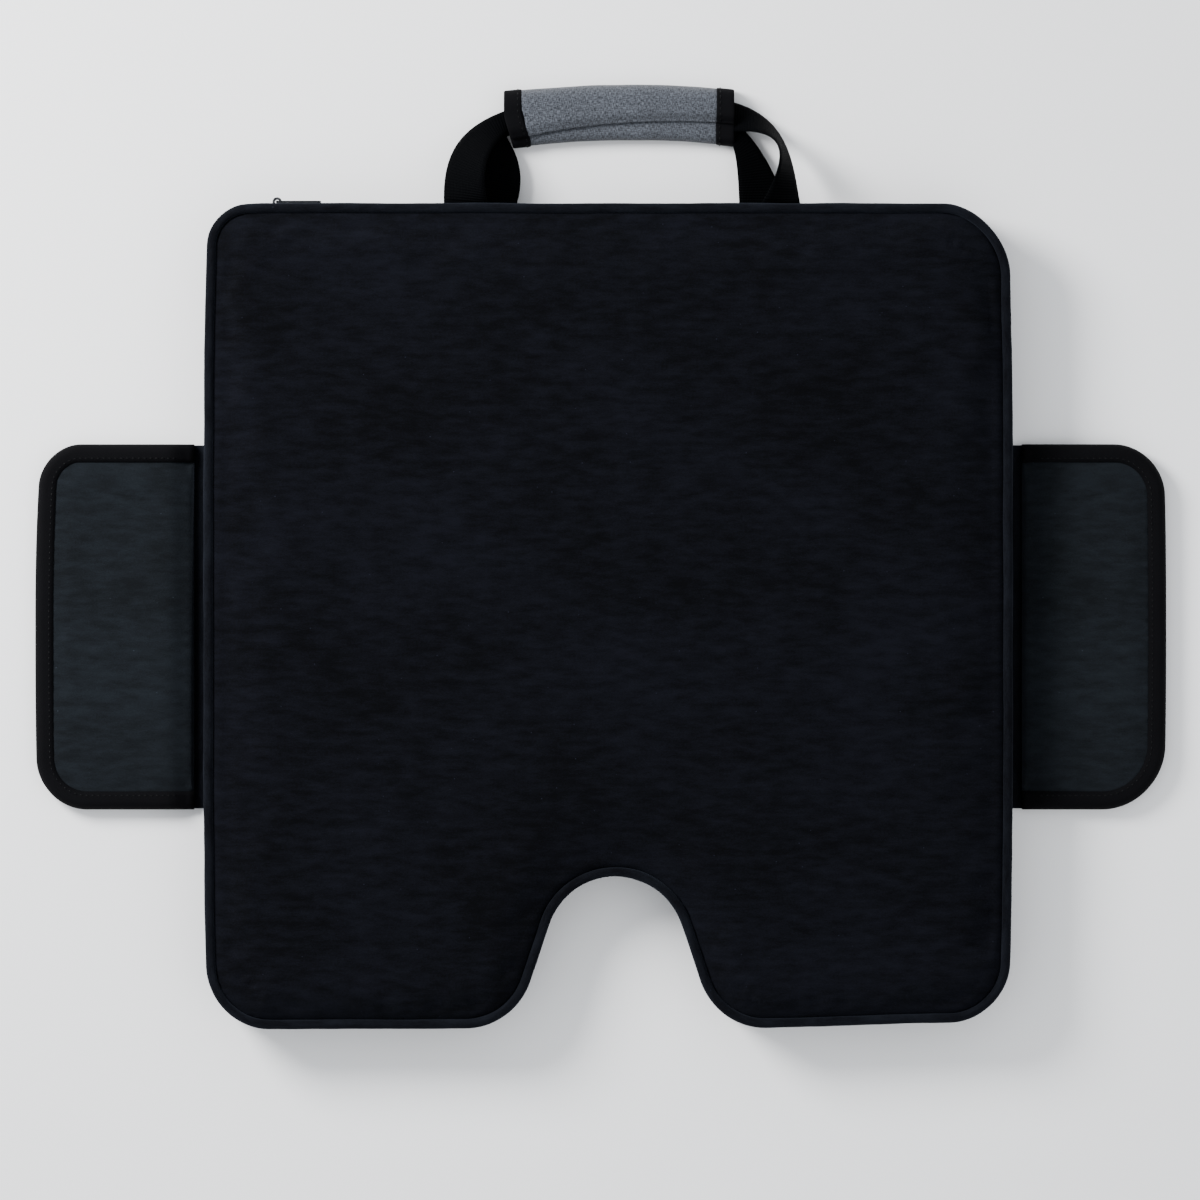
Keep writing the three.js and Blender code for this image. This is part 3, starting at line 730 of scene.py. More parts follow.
def pad_sweep(name, path, outward, section, material, ring_path):
    """A strip along the pad's edge, settled as the sewn pad is."""
    section = np.broadcast_to(section, (len(path), *np.shape(section)[-2:]))
    flat = path[:, None] - outward[:, None] * section[..., :1]
    rows = settled(np.concatenate([flat, section[..., 1:]], axis=-1))
    return lofted(name, rows, material, "pad", ring_path)


# ---- the padded seat

storage_crease = {"y": -140, "from": -206, "to": -128, "depth": 0.7, "width": 2.2}
dome = 1.0                      # how far the middle stands above the shoulders
dome_run = 120
sewn_run = 8                    # from the seam to where the panel lies on the foam
pucker_run = 22                 # how far in from the edge the sewing puckers the panel
seat_puff = 1.6                 # how far the foam may swell under its cover
foam_ease = 1.2                 # how far the foam stays below the cloth it shaped
foam_net = 5                    # size of the faces of the foam and of the panel over it
shoulder_insets = (6.4, 7.4, 8.8, 10.6, 13, 16)     # rows of points that turn the shoulder


def crown(inset, drop=0.0):
    """Height of the top above the floor that far inside the edge, less the drop."""
    share = np.clip((inset - seam_inset) / crown_run, 0, 1)
    return top_seam + (crown_top - top_seam) * np.sin(share * math.pi / 2) - drop


def seat_foam():
    """The foam, swollen as cloth against its cover."""
    start_drop = cloth + seat_puff
    under = [(seam_inset, foam_low[2]), (seam_inset, boxing_low[2])]
    wall_inset = foam_low[0] - left
    wall = [(wall_inset, boxing_low[2] + 1), (wall_inset, boxing_high[2])]
    insets = seam_inset + crown_run * np.array([0, 0.15, 0.35, 0.6, 1])
    over = [(inset, crown(inset, start_drop)) for inset in insets]
    over[0] = (seam_inset, boxing_high[2] + 0.6)
    rings = [in_3d(rim.ring(inset), z) for inset, z in [*under, *wall, *over]]
    piece = lofted("seat_foam", np.array(rings), foam)
    remeshed(piece, foam_net)
    puffed(piece, lambda co: co[:, 2] < top_seam, seat_puff)
    return piece


def eased(points):
    """The foam's points a little below the cloth, and settled as the sewn pad is."""
    lower = points.copy()
    lower[:, 2] -= foam_ease * smooth(points[:, 2], boxing_high[2], top_seam)
    return settled(lower)


def crease(points):
    """Depth of the faint crease that being stored has pressed in."""
    x, y = points.T
    start, end = storage_crease["from"], storage_crease["to"]
    fade_out, fade_in = 12, 25      # how far it fades past each end, and before it
    along = smooth(x, start - fade_out, start + fade_in)
    along *= smooth(x, end + fade_out, end - fade_in)
    bend = storage_crease["y"] + swells(in_3d(points, 0), (1.5, 40, 4))
    off = (y - bend) / storage_crease["width"]
    return storage_crease["depth"] * along * np.exp(-off * off)


def seat():
    """The foam, and the top panel lying on it."""
    core = seat_foam()
    on_foam = upper_face(core)
    reshaped(core, eased)
    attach(core, "pad")
    stand_in(core, "foam_core")

    def height(points):
        inset = rim.inset(points)
        planned = crown(inset)
        resting = on_foam(points, planned - cloth) + cloth
        share = smooth(inset, seam_inset, seam_inset + sewn_run)
        z = np.maximum(planned + (resting - planned) * share, resting)
        swell = dome * smooth(inset, seam_inset, dome_run)
        places = in_3d(points, 0)
        swell += share * swells(places, (0.35, 55, 1), (0.16, 17, 2))
        pucker = swells(places, (0.22, 7, 3)) * smooth(inset, pucker_run, seam_inset + 1)
        return z + swell + pucker * share - crease(points) - tuck * (inset < seam_inset)

    insets = [seam_inset, *shoulder_insets, seam_inset + crown_run]
    rings = [rim.ring(inset) for inset in insets]
    middle = net((left, back), (right, front), foam_net)
    middle = middle[rim.inset(middle) > insets[-1] + foam_net / 2]
    top = panel(
        "seat_top_panel", rim.ring(seam_inset - tuck), np.concatenate([*rings, middle]),
        height, cloth, nap, "pad",
    )
    reshaped(top, settled)
    stand_in(top, "top_panel")


def edge_piping(name, node, height, seed):
    """Round piping right round the pad, wavering a little as sewn piping does."""
    circle = arc((piping_radius, 0), piping_radius, 0, 337.5, steps=15)
    places = in_3d(rim.points, height)
    section = np.repeat(circle[None], len(places), axis=0)
    section[..., 0] += swells(places, (0.3, 35, seed))[:, None]
    section[..., 1] += height + swells(places, (0.25, 28, seed + 1))[:, None]
    middle = section.mean(axis=1, keepdims=True)
    swell = 1 + swells(places, (0.05, 9, seed + 2))[:, None, None]
    section = middle + (section - middle) * swell
    piece = pad_sweep(name, rim.points, rim.outward, section, side_nap_painted_highlight, True)
    stand_in(piece, node)


side_bulge = 0.9                # how far the side cloth stands out between its seams
hem_turn = 150                  # degrees that the strips' cloth is folded back at the zip
hem_length = 4
hem_stitch_inset = 2.4


def boxing():
    """The side cloth from seam to seam, bulging a little between the pipings."""
    low, high = boxing_low[2] - tuck, boxing_high[2] + tuck
    share = np.linspace(-1, 1, 13)
    heights = low + (high - low) * (share + 1) / 2
    places = in_3d(side_points, (low + high) / 2)
    bulge = side_bulge + swells(places, (0.35, 30, 11))[:, None]
    insets = boxing_inset + cloth / 2 - bulge * (1 - share**2)
    wrinkle = np.array([waver(places + (0, 0, z), 11, 12) for z in heights]).T
    insets = insets + 0.3 * wrinkle * (1 - share**2)
    rows = [band(np.column_stack([inset, heights]), cloth) for inset in insets]
    piece = pad_sweep("boxing_side_cloth", side_points, side_outward, rows, side_nap_painted_highlight, False)
    stand_in(piece, "boxing_band")


def front_strip(name, node, seam_side):
    """Cloth between a piping and the zip, its edge folded under along the zip."""
    low, high = (corner[2] for corner in box(node))
    seam, fold = (low - tuck, high) if seam_side < 0 else (high + tuck, low)
    turn = cloth / 2 + 0.2
    flat = np.linspace(seam, fold + seam_side * turn, 6)
    face = boxing_inset + cloth / 2
    bend = arc((face + turn, flat[-1]), turn, 180, 180 + seam_side * hem_turn, steps=7)[1:]
    hem = [(bend[-1][0] + 0.15, bend[-1][1] + seam_side * hem_length)]
    line = np.concatenate([in_2d(face, flat), bend, hem])
    places = in_3d(front_points, seam)
    rows = np.repeat(band(line, cloth)[None], len(front_points), axis=0)
    rows[..., 0] += swells(places, (0.25, 40, 13))[:, None]
    piece = pad_sweep(name, front_points, front_outward, rows, side_nap_painted_highlight, False)
    stand_in(piece, node)
    path = in_3d(front_points, fold + seam_side * hem_stitch_inset)
    path[:, 1] -= boxing_inset - 0.1
    facing = np.tile((0.0, 1.0, 0.0), (len(path), 1))
    stitches(f"{name}_stitches", settled(path), facing, "pad")


base_rise = 0.5                 # height of the underside's cloth, which the dots hold up
base_cloth = 0.7
dot_spacing = 9
dot_sides = 10
dot_profile = [(1.7, base_rise + 0.25), (1.6, 0.25), (1.2, 0.06), (0.6, 0)]


def base():
    """The underside, with its print of small rubber dots."""
    under = net((left, back), (right, front), 6)
    under = under[rim.inset(under) > 9]
    sheet = panel(
        "seat_base_panel", rim.ring(seam_inset - 1.2), under,
        lambda co: base_rise + base_cloth + swells(in_3d(co, 0), (0.12, 30, 15)),
        base_cloth, lining, "pad",
    )
    reshaped(sheet, settled)
    stand_in(sheet, "base_panel")
    centres = net((left, back), (right, front), dot_spacing)
    centres = centres[rim.inset(centres) > 13]
    circle = circles(np.array([1, 0]), np.array([0, 1]), dot_sides)
    dots = np.array([[
        in_3d(centre + circle * radius, z) for radius, z in dot_profile
    ] for centre in centres])
    many_tubes("base_grip_dots", settled(dots), rubber, "pad")


seat()
edge_piping("top_edge_piping", "top_piping", top_seam, 5)
edge_piping("bottom_edge_piping", "bottom_piping", bottom_seam, 8)
boxing()
front_strip("front_strip_lower", "boxing_strip_lower", -1)
front_strip("front_strip_upper", "boxing_strip_upper", 1)
base()


# ---- the zip

chain_low, chain_high = box("zip_chain")
coil_pitch = 1.5
coil_turn_points = 12
coil_sides = 5
coil_wire = 0.32                # radius of the spiral's nylon
coil_lean = 0.35                # how far each half's spiral stands off the chain's middle
tape_tail = 2                   # how far the tape runs on behind the side cloth
metal_rounding = 0.22


def zip_tape(name, node, way):
    """Woven tape behind the opening, from under the coil outwards, and on past the stops
    to behind the side cloth."""
    low, high = box(node)
    opening_low, opening_high = box("boxing_strip_upper")
    xs = np.linspace(opening_low[0] - tape_tail, opening_high[0] + tape_tail, 90)
    inner = (chain_low[2] + chain_high[2]) / 2 + way * 0.1
    outer = high[2] if way > 0 else low[2]
    line = np.column_stack([np.linspace(*sorted((inner, outer)), 9), np.zeros(9)])
    section = band(line, high[1] - low[1])
    y = (low[1] + high[1]) / 2
    rows = np.array([
        [(x, y + depth + 0.12 * math.sin(x / 9), z) for z, depth in section] for x in xs
    ])
    stand_in(lofted(name, rows, zip_cloth, "pad"), node)


def zip_coil(name, seed):
    """One half of the chain: a nylon spiral, its turns between those of the other half."""
    middle = (chain_low + chain_high) / 2
    length = chain_high[0] - chain_low[0]
    turns = int(length / coil_pitch)
    steps = turns * coil_turn_points
    share = np.arange(steps + 1) / steps
    angle = share * turns * math.tau + seed * math.pi
    tall = (chain_high[2] - chain_low[2]) / 2 - coil_wire
    deep = (chain_high[1] - chain_low[1]) / 2 - coil_wire
    lean = coil_lean * (1 if seed else -1)
    centre = np.column_stack([
        chain_low[0] + share * length,
        middle[1] + deep * np.cos(angle),
        middle[2] + lean + (tall - abs(lean)) * np.sin(angle),
    ])
    ahead = unit(np.gradient(centre, axis=0))
    aside = unit(np.cross(ahead, (1.0, 0.0, 0.0)))
    rows = centre[:, None] + coil_wire * circles(aside, np.cross(aside, ahead), coil_sides)
    return lofted(name, rows, coil_nylon, "pad")


def zip_metalwork():
    """The slider, pull and stops stay as the CAD has them, with their edges rounded."""
    for name in ("zip_slider", "zip_pull", "zip_stop_left", "zip_stop_right"):
        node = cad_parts[name]
        node.data.materials.clear()
        node.data.materials.append(metal)
        bevel = node.modifiers.new("rounded_edges", "BEVEL")
        bevel.width = metal_rounding * MM
        bevel.segments = 2
        bevel.limit_method = "ANGLE"


zip_tape("zip_tape_upper_woven", "zip_tape_upper", 1)
zip_tape("zip_tape_lower_woven", "zip_tape_lower", -1)
zip_coils = [zip_coil("zip_coil_upper", 0), zip_coil("zip_coil_lower", 1)]
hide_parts("zip_chain")
zip_metalwork()


# ---- the side flaps

flap_bevel_run = 14             # from the sewn edge to the flap's full height
flap_binding = 10               # width of the binding over a free edge
binding_cloth = 1.1
nose_inset = 4.6                # where the binding starts to turn round the edge
nose_reach = 4.0                # how far out it turns from there
flap_panel_cloth = 1.0
flap_puff = 1.0
flap_pinch = 2.3                # how far the binding presses the flap's edges down
flap_sewn = 0.58                # share of the flap's full height at its sewn edge
flap_lift = 1.2                 # how far the foam may move the panel off its planned shape
flap_under = 1.9                # height of the flap's lower cloth above its lowest point


class Flap:
    """One side flap: its plan, worked out from its binding's box."""

    def __init__(self, name, side, back_radius, front_radius, front_draw):
        self.name = name
        self.side = side
        low, high = box(f"{name}_binding")
        self.low, self.high = low, high
        edge = left if side < 0 else right
        self.seam = abs(edge)
        self.root = min(abs(low[0]), abs(high[0])) - self.seam
        self.reach = max(abs(low[0]), abs(high[0])) - self.seam
        self.front_draw = front_draw
        turns = [
            (self.reach - back_radius, low[1] + back_radius, back_radius, 0, 90),
            (self.reach - front_radius, high[1] - front_radius, front_radius, 90, 180),
        ]
        points, outward = round_stretches(turns, 2)
        ends = [np.array([self.root, y]) for y in (low[1], high[1])]
        points = [ends[0], *points, ends[1]]
        outward = [outward[0], *outward, outward[-1]]
        self.free = Edge(*evenly(np.array(points), np.array(outward), 3))

    def placed(self, points):
        """Points given as (out from the pad, along it, height), put beside the pad. The
        outer edge is drawn in a little towards the handle end."""
        moved = points.copy()
        out, y = points[..., 0], points[..., 1]
        share = smooth(out, self.reach * 0.4, self.reach)
        pull = np.clip(y / self.high[1], 0, 1) ** 2
        bow = np.clip(np.abs(y) / self.high[1], 0, 1) ** 3
        moved[..., 0] = self.side * (self.seam + out - share * (self.front_draw * pull + bow))
        return moved

    def top(self, out):
        """Height of the flap's upper face, which slopes down to the sewn edge."""
        full = self.high[2] - self.low[2]
        sewn = flap_sewn * full
        rise = smooth(out, self.root, self.root + flap_bevel_run)
        return self.low[2] + sewn + (full - sewn) * rise

    def pinch(self, points):
        """How far the binding presses the flap down near its free edges."""
        return flap_pinch * smooth(self.free.inset(points), flap_binding + 12, flap_binding)


# The flap foam's rings from low to high: how far in, and their share of the height.
flap_foam_rings = ((4, 0), (3, 0.3), (3, 0.6), (5, 1), (9, 1), (16, 1))


def flap_foam(flap):
    """The flap's foam, swollen as cloth under its panel."""
    skin = flap_panel_cloth + flap_puff
    low = flap.low[2] + 1.8
    edges = []
    for inset, share in flap_foam_rings:
        ring = flap.free.ring(inset)
        ring[:, 0] = np.maximum(ring[:, 0], flap.root + 0.5)
        roof = flap.top(ring[:, 0]) - flap.pinch(ring) - skin
        edges.append(in_3d(ring, low + (roof - low) * share))
    piece = lofted(f"{flap.name}_foam_pad", flap.placed(np.array(edges)), foam)
    remeshed(piece, 4)
    puffed(piece, lambda co: co[:, 2] < low + 1.5, flap_puff)
    return piece


def flap_panels(flap):
    """The flap's foam, with a panel of cloth over and under it."""
    core = flap_foam(flap)
    on_foam = upper_face(core)
    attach(core, flap.name)
    stand_in(core, f"{flap.name}_foam")

    def height(points):
        inset = flap.free.inset(points)
        places = in_3d(points, 0)
        planned = flap.top(points[:, 0]) - flap.pinch(points) - 0.3
        plan = flap.placed(places)[:, :2]
        resting = on_foam(plan, planned - flap_panel_cloth) + flap_panel_cloth
        lift = np.clip(resting - planned, -flap_lift, flap_lift)
        lift = lift * smooth(inset, flap_binding, flap_binding + 10)
        planned = planned + lift * smooth(points[:, 0], flap.root + 1, flap.root + 8)
        near_edge = smooth(inset, flap_binding + 6, flap_binding)
        pucker = swells(places, (0.08, 5, 23)) * near_edge
        return planned + swells(places, (0.3, 40, 21), (0.06, 13, 22)) + pucker

    def lower_height(points):
        return flap.low[2] + flap_under + swells(in_3d(points, 0), (0.1, 20, 24))

    edge = flap.free.ring(flap_binding - 3)
    edge[:, 0] = np.maximum(edge[:, 0], flap.root)
    middle = net((flap.root + 2, flap.low[1]), (flap.reach, flap.high[1]), 4)
    middle = middle[flap.free.inset(middle) > flap_binding - 1]
    for name, node, shape in (
        ("panel_upper", "top_panel", height),
        ("panel_lower", "base_panel", lower_height),
    ):
        cover = panel(f"{flap.name}_{name}", edge, middle, shape, flap_panel_cloth, charcoal, None)
        reshaped(cover, flap.placed)
        if flap.side < 0:
            cover.data.flip_normals()
        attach(cover, flap.name)
        stand_in(cover, f"{flap.name}_{node}")


def flap_edge(flap):
    """Binding folded over the three free edges, with its row of stitches."""
    path, outward = flap.free.points, flap.free.outward
    full = flap.high[2] - flap.low[2]
    places = in_3d(path, 0)
    roof = (flap.top(path[:, 0]) - 1.0 - flap.low[2]) / full
    waves = 0.15 * waver(places, 22, 31)
    middle = full / 2 - 0.1
    half = middle - binding_cloth
    nose = arc((nose_inset, middle), (nose_reach, half), -90, -270, steps=12)
    rows = []
    for share, wave in zip(roof, waves):
        upper = middle + half - 0.55
        line = np.concatenate([
            [(flap_binding + wave, middle - half)],
            nose,
            [(7.5, upper + 0.25), (flap_binding + wave, upper)],
        ])
        section = band(line, binding_cloth)
        section[:, 1] = flap.low[2] + section[:, 1] * np.where(section[:, 1] > 2, share, 1)
        rows.append(section)
    rows = np.array(rows)
    flat = path[:, None] - outward[:, None] * rows[..., :1]
    solid = flap.placed(np.concatenate([flat, rows[..., 1:]], axis=-1))
    piece = lofted(f"{flap.name}_edge_binding", solid, binding_tape, flap.name)
    stand_in(piece, f"{flap.name}_binding")
    inner = flap.free.ring(flap_binding - 2.2)[3:-3]
    height = rows[3:-3, :, 1].max(axis=1) - 0.45
    row = flap.placed(np.column_stack([inner, height]))
    up = np.tile((0.0, 0.0, 1.0), (len(row), 1))
    stitches(f"{flap.name}_binding_stitches", row, up, flap.name)


web_cloth = 0.9
web_tuck = 1.6                  # how far the web runs in under the pad's piping
web_rise = 1.3                  # how far it rises there to its seam


def flap_hinge(flap):
    """The strip of cloth that the flap folds on, bending between pad and flap."""
    low = box(f"{flap.name}_hinge_web")[0]
    outs = np.linspace(-web_tuck, flap.root + 3, 16)
    ys = np.linspace(flap.low[1] + 0.6, flap.high[1] - 0.6, 41)
    sag = low[2] + 0.5 + web_rise * smooth(outs, 1.5, -web_tuck)
    rows = []
    for y in ys:
        line = in_2d(outs, sag + 0.15 * math.sin(y / 6))
        rows.append([(out, y, z) for out, z in band(line, web_cloth)])
    rows = np.array(rows)
    rows[..., 0] = flap.side * (flap.seam + rows[..., 0])
    piece = lofted(f"{flap.name}_hinge_cloth", rows, side_nap_painted_highlight)
    stand_in(piece, f"{flap.name}_hinge_web")
    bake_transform(piece)


flaps = [
    Flap("left_flap", -1, back_radius=28, front_radius=23, front_draw=2.4),
    Flap("right_flap", 1, back_radius=35, front_radius=28, front_draw=0.6),
]
for flap in flaps:
    flap_panels(flap)
    flap_edge(flap)
    flap_hinge(flap)


# ---- the handle's place

grip_left = box("grip_wrap_binding_left")[0][0]
grip_right = box("grip_wrap_binding_right")[1][0]
wrap_low, wrap_high = box("grip_wrap")
cover_high = box("grip_flap")[1]
grip_back, grip_front = wrap_low[1], cover_high[1]
grip_middle = (grip_back + grip_front) / 2
grip_crest = 14.6               # where along X the bowed grip stands furthest out
grip_rise = 0.7
left_droop, right_droop = 4.0, 3.2
left_slant = 4.9                # how far the left end is cut back at the pad side
slant_run = (8, 45)             # from where to where that dies away, in from the end


def gripped(points):
    """Points of the straight grip moved to where it lies: bowed, with its ends slanted."""
    moved = points.copy()
    x, y = points[..., 0], points[..., 1]
    share = np.where(
        x < grip_crest,
        (grip_crest - x) / (grip_crest - grip_left),
        (x - grip_crest) / (grip_right - grip_crest),
    )
    droop = np.where(x < grip_crest, left_droop, right_droop)
    moved[..., 1] += grip_rise - droop * share**2
    near = smooth(x, grip_left + slant_run[1], grip_left + slant_run[0])
    moved[..., 0] += left_slant * near * smooth(y, grip_middle + 4, grip_back)
    return moved


# ---- the handle's webbing

strap_cloth = 1.4
strap_half = (box("grip_padding")[1][1] - box("grip_padding")[0][1]) / 2
seam_y = front - boxing_inset + 0.3
strap_steps = 16
strap_divisions = 8


def bent(points, count):
    """A cubic curve drawn by its two ends and the two points that pull it."""
    t = np.linspace(0, 1, count)[:, None]
    a, b, c, d = np.array(points, float)
    return a * (1 - t) ** 3 + 3 * b * t * (1 - t) ** 2 + 3 * c * t**2 * (1 - t) + d * t**3


def strap_edge(base, out_of_seam, into_grip, entry, heights, lift):
    """One edge of a strap's corner: it leaves the seam at base, is drawn towards the two
    middle points, and enters the grip at entry. The lift raises it on the way."""
    flat = bent([(base, seam_y), out_of_seam, into_grip, entry], strap_steps)
    share = np.linspace(0, 1, strap_steps)
    z = heights[0] + (heights[1] - heights[0]) * smooth(share, 0, 1)
    return in_3d(flat, z + lift * np.sin(math.pi * share) ** 0.7)


def thickened(rows, thickness):
    """A closed strip of that thickness round a sheet of points, with rounded edges."""
    along = np.gradient(rows, axis=0)
    across = np.gradient(rows, axis=1)
    half = np.full(rows.shape[1], thickness / 2)
    half[[0, -1]] *= 0.45
    up = unit(np.cross(across, along)) * half[:, None]
    return np.concatenate([rows + up, (rows - up)[:, ::-1]], axis=1)


def strap(name, node, heights, left_edges, right_edges):
    """One length of webbing: a corner, the flat run inside the grip, and a corner."""
    inside = []
    for x in np.linspace(grip_left + 16, grip_right - 16, 12):
        edges = [(x, grip_middle + strap_half * way, heights[1]) for way in (1, -1)]
        inside.append(gripped(np.array(edges)))
    stations = np.concatenate([
        np.stack(left_edges, axis=1), np.array(inside), np.stack(right_edges, axis=1)[::-1],
    ])
    share = np.linspace(0, 1, strap_divisions + 1)[None, :, None]
    rows = stations[:, :1] * (1 - share) + stations[:, 1:] * share
    piece = stand_in(lofted(name, thickened(rows, strap_cloth), webbing), node)
    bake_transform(piece)


def straps():
    """Two lengths of webbing, one over the other. Where a corner is too tight for flat
    webbing it turns on edge, most of all the upper strap's right corner."""
    padding_top = box("grip_padding")[1][2]
    upper = (box("boxing_strip_upper")[1][2] - strap_cloth, padding_top + 2.7)
    lower = (boxing_low[2] + strap_cloth, padding_top + 1.0)
    strap("webbing_upper", "strap_upper", upper, (
        strap_edge(-89.5, (-90.6, 250.6), (-83.2, 267.7), (-53, 277.5), upper, -5),
        strap_edge(-65.5, (-69.5, 240), (-68, 256), (-53, 266), upper, 9),
    ), (
        strap_edge(105, (100.6, 245.3), (101, 274), (65, 282), upper, -9),
        strap_edge(83, (99, 250), (100, 268), (65, 264.5), upper, 13),
    ))
    strap("webbing_lower", "strap_lower", lower, (
        strap_edge(-75, (-74, 245), (-72, 262), (-53, 273), lower, 0),
        strap_edge(-50.5, (-45.5, 238), (-47.5, 252), (-57, 263), lower, 1),
    ), (
        strap_edge(96, (96, 238), (75.7, 270.7), (65, 272), lower, -1),
        strap_edge(71.8, (71.2, 240), (70.6, 258), (65, 263), lower, 4),
    ))


straps()


# ---- the grip

grip_cloth = 1.8
grip_bend = 6.2                 # height at which the cover turns over to its flat
cover_heel = 1.2                # turn from the wrap's lower edge up into the cover
overlap_back = 3.4              # from the grip's middle to the cover's free edge
overlap_skew = 7.5              # how much further back that edge runs at the left end
under_height = wrap_low[2] + grip_cloth / 2
padding_sides = 28
end_binding = 10
binding_swell = 0.55


def overlap_at(x):
    """Where the cover's free edge runs: it was closed a little askew."""
    share = (x - grip_left) / (grip_right - grip_left)
    return grip_middle - overlap_back - overlap_skew * np.clip(1 - share, 0, 1) ** 1.5


def wrap_line(x):
    """The wrap's section: under the straps, round the pad side, over them as a tongue."""
    low, high = under_height, wrap_high[2] - grip_cloth / 2
    turn = (high - low) / 2
    edge = grip_back + grip_cloth / 2 + turn
    nose = arc((edge, (low + high) / 2), turn, 270, 90, steps=14)
    under = np.linspace(grip_front - grip_cloth - 0.6, edge + 1, 7)
    over = np.linspace(edge + 1, wrap_high[1] - 1, 7)
    puff = 0.5 * np.sin(np.linspace(0, math.pi, 7))
    return np.concatenate([in_2d(under, low), nose, in_2d(over, high + puff)])


def cover_line(x):
    """The cover's section: on from the wrap's lower edge, up the far side and over the
    tongue to its free edge, which is pressed down on the wrap."""
    high = cover_high[2] - grip_cloth / 2
    edge = grip_front - grip_cloth / 2
    turn = high - grip_bend
    root = in_2d([grip_front - grip_cloth - 0.8], under_height)
    heel = arc((edge - cover_heel, under_height + cover_heel), cover_heel, 270, 360, steps=5)
    up = in_2d(edge, np.linspace(under_height + cover_heel, grip_bend, 5)[1:])
    bend = arc((edge - turn, grip_bend), turn, 0, 90, steps=10)[1:]
    flat = np.linspace(edge - turn, overlap_at(x), 12)[1:]
    drop = 2.5 * smooth(flat, overlap_at(x) + 5, overlap_at(x) + 0.5)
    return np.concatenate([root, heel, up, bend, in_2d(flat, high - drop)])


def bent_at_root(piece):
    """Bakes the cover's cloth in place into its own mesh; it rides on no body."""
    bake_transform(piece)


def at_x(x, section):
    """A section's points at that place along X."""
    return np.column_stack([np.full(len(section), x), section])


def along_grip(xs, line_at, thickness, seed, wander=0.25):
    """Rows of cloth with a section along the grip, each of a given thickness."""
    rows = []
    for x, thick in zip(xs, np.broadcast_to(thickness, len(xs))):
        section = band(line_at(x), thick)
        places = gripped(at_x(x, section))
        places[:, 1] += swells(places, (wander, 16, seed))
        places[:, 2] += swells(places, (wander, 12, seed + 1))
        rows.append(places)
    return np.array(rows)


def end_tape(name, node, line_at, joined, end, inward, width):
    """Black binding round one end of the wrap or of its cover, and its stitches."""
    shares = np.array([0, 0.04, 0.12, 0.3, 0.5, 0.7, 0.88, 0.96, 1])
    swells = np.array([0.2, 0.7, 1, 1, 1, 1, 1, 0.8, 0.3])
    xs = end + inward * width * shares
    rows = along_grip(xs, line_at, grip_cloth + 2 * binding_swell * swells, 44, 0.2)
    tape = lofted(name, rows, binding_tape)
    joined(tape)
    stand_in(tape, node)
    x = end + inward * (width - 2)
    line = line_at(x)
    run = np.gradient(line, axis=0)
    facing = np.column_stack([np.zeros(len(line)), run[:, 1], -run[:, 0]])
    path = at_x(x, line)
    outwards = ((path - (x, grip_middle, grip_bend)) * facing).sum(axis=1, keepdims=True)
    facing *= np.sign(outwards) / np.linalg.norm(facing, axis=1, keepdims=True)
    path = gripped(path + facing * (grip_cloth / 2 + binding_swell - 0.05))
    joined(stitches(f"{name}_stitches", path, facing))


def grip():
    """The heather sleeve: its wrap, its closing cover, and their bound ends."""
    hidden = 1.5                # cloth that runs on inside the bindings
    xs = np.linspace(
        grip_left + end_binding - hidden, grip_right - end_binding + hidden, 44
    )
    for kind, cad_kind, line_at, joined in (
        ("wrap", "wrap", wrap_line, lambda piece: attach(piece, "handle")),
        ("cover", "flap", cover_line, bent_at_root),
    ):
        rows = along_grip(xs, line_at, grip_cloth, 41)
        sleeve = lofted(f"grip_{kind}_cloth", rows, heather)
        joined(sleeve)
        stand_in(sleeve, f"grip_{cad_kind}")
        for side, end, inward in (("left", grip_left, 1), ("right", grip_right, -1)):
            end_tape(
                f"grip_{kind}_tape_{side}", f"grip_{cad_kind}_binding_{side}",
                line_at, joined, end, inward, end_binding - 0.4 * (kind == "cover"),
            )


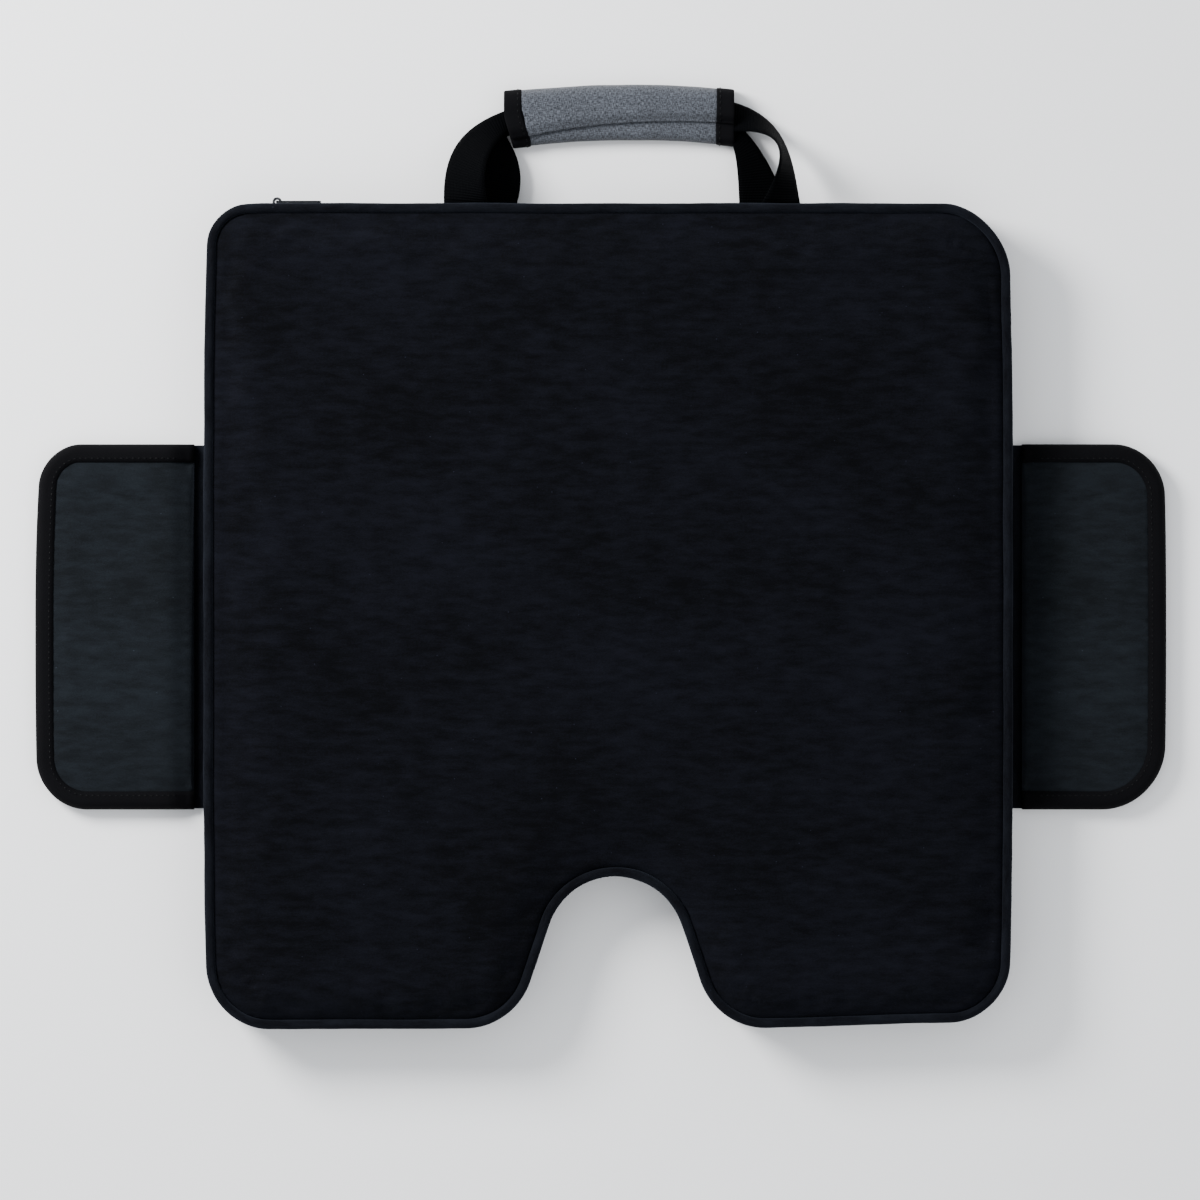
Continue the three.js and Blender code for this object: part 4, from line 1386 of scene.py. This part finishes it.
def grip_inside():
    """The padding, and the hook and loop strips that close the cover."""
    low, high = box("grip_padding")
    middle, half = (low + high) / 2, (high - low) / 2
    angles = np.arange(padding_sides) * math.tau / padding_sides
    across = np.sign(np.cos(angles)) * np.abs(np.cos(angles)) ** 0.35
    height = np.sign(np.sin(angles)) * np.abs(np.sin(angles)) ** 0.6
    rows = []
    for x in np.linspace(low[0], high[0], 30):
        full = 0.8 + 0.2 * smooth(min(x - low[0], high[0] - x), 0, 4)
        section = in_2d(across, height) * half[1:] * full + middle[1:]
        rows.append(gripped(at_x(x, section)))
    padding = lofted("grip_foam_padding", np.array(rows), foam, "handle")
    stand_in(padding, "grip_padding")
    for name, node, material, body in (
        ("grip_loop_tape", "grip_loop_strip", loops, "handle"),
        ("grip_hook_tape", "grip_hook_strip", hooks, "grip_cover"),
    ):
        low, high = box(node)

        def line_at(x):
            near = max(low[1], overlap_at(x) + 3.5)
            return in_2d(np.linspace(near, high[1], 10), (low[2] + high[2]) / 2)

        xs = np.linspace(low[0], high[0], 30)
        rows = along_grip(xs, line_at, high[2] - low[2], 47, 0.1)
        stand_in(lofted(name, rows, material, body), node)


grip()
grip_inside()


# ---- studio

camera_height = 6
view_width = 0.654
view_plane = 0.03               # height at which the picture spans the view's width
view_centre = (-0.0044, 0.0087)
floor_half = 3


def studio():
    """A pale floor, soft light from above left, and a camera looking straight down."""
    mesh = bpy.data.meshes.new("floor")
    corners = [(x * floor_half, y * floor_half, 0) for x, y in ((-1, -1), (1, -1), (1, 1), (-1, 1))]
    mesh.from_pydata(corners, [], [(0, 1, 2, 3)])
    mesh.materials.append(floor_material())
    floor = bpy.data.objects.new("floor", mesh)
    bpy.context.scene.collection.objects.link(floor)

    world = bpy.data.worlds.new("studio")
    world.use_nodes = True
    world.node_tree.nodes["Background"].inputs["Color"].default_value = (0.93, 0.96, 1, 1)
    world.node_tree.nodes["Background"].inputs["Strength"].default_value = 1.2
    bpy.context.scene.world = world

    for name, place, size, power in (
        ("key_light", (-1.15, 0.8, 0.95), 0.7, 62),
        ("fill_light", (1.2, -0.8, 1.8), 1.6, 8),
    ):
        data = bpy.data.lights.new(name, "AREA")
        data.shape = "DISK"
        data.size = size
        data.energy = power
        light = bpy.data.objects.new(name, data)
        light.location = place
        light.rotation_euler = (-Vector(place)).to_track_quat("-Z", "Y").to_euler()
        bpy.context.scene.collection.objects.link(light)

    data = bpy.data.cameras.new("camera")
    data.sensor_width = 36
    data.lens = data.sensor_width * (camera_height - view_plane) / view_width
    camera = bpy.data.objects.new("camera", data)
    camera.location = (*view_centre, camera_height)
    bpy.context.scene.collection.objects.link(camera)
    bpy.context.scene.camera = camera


studio()
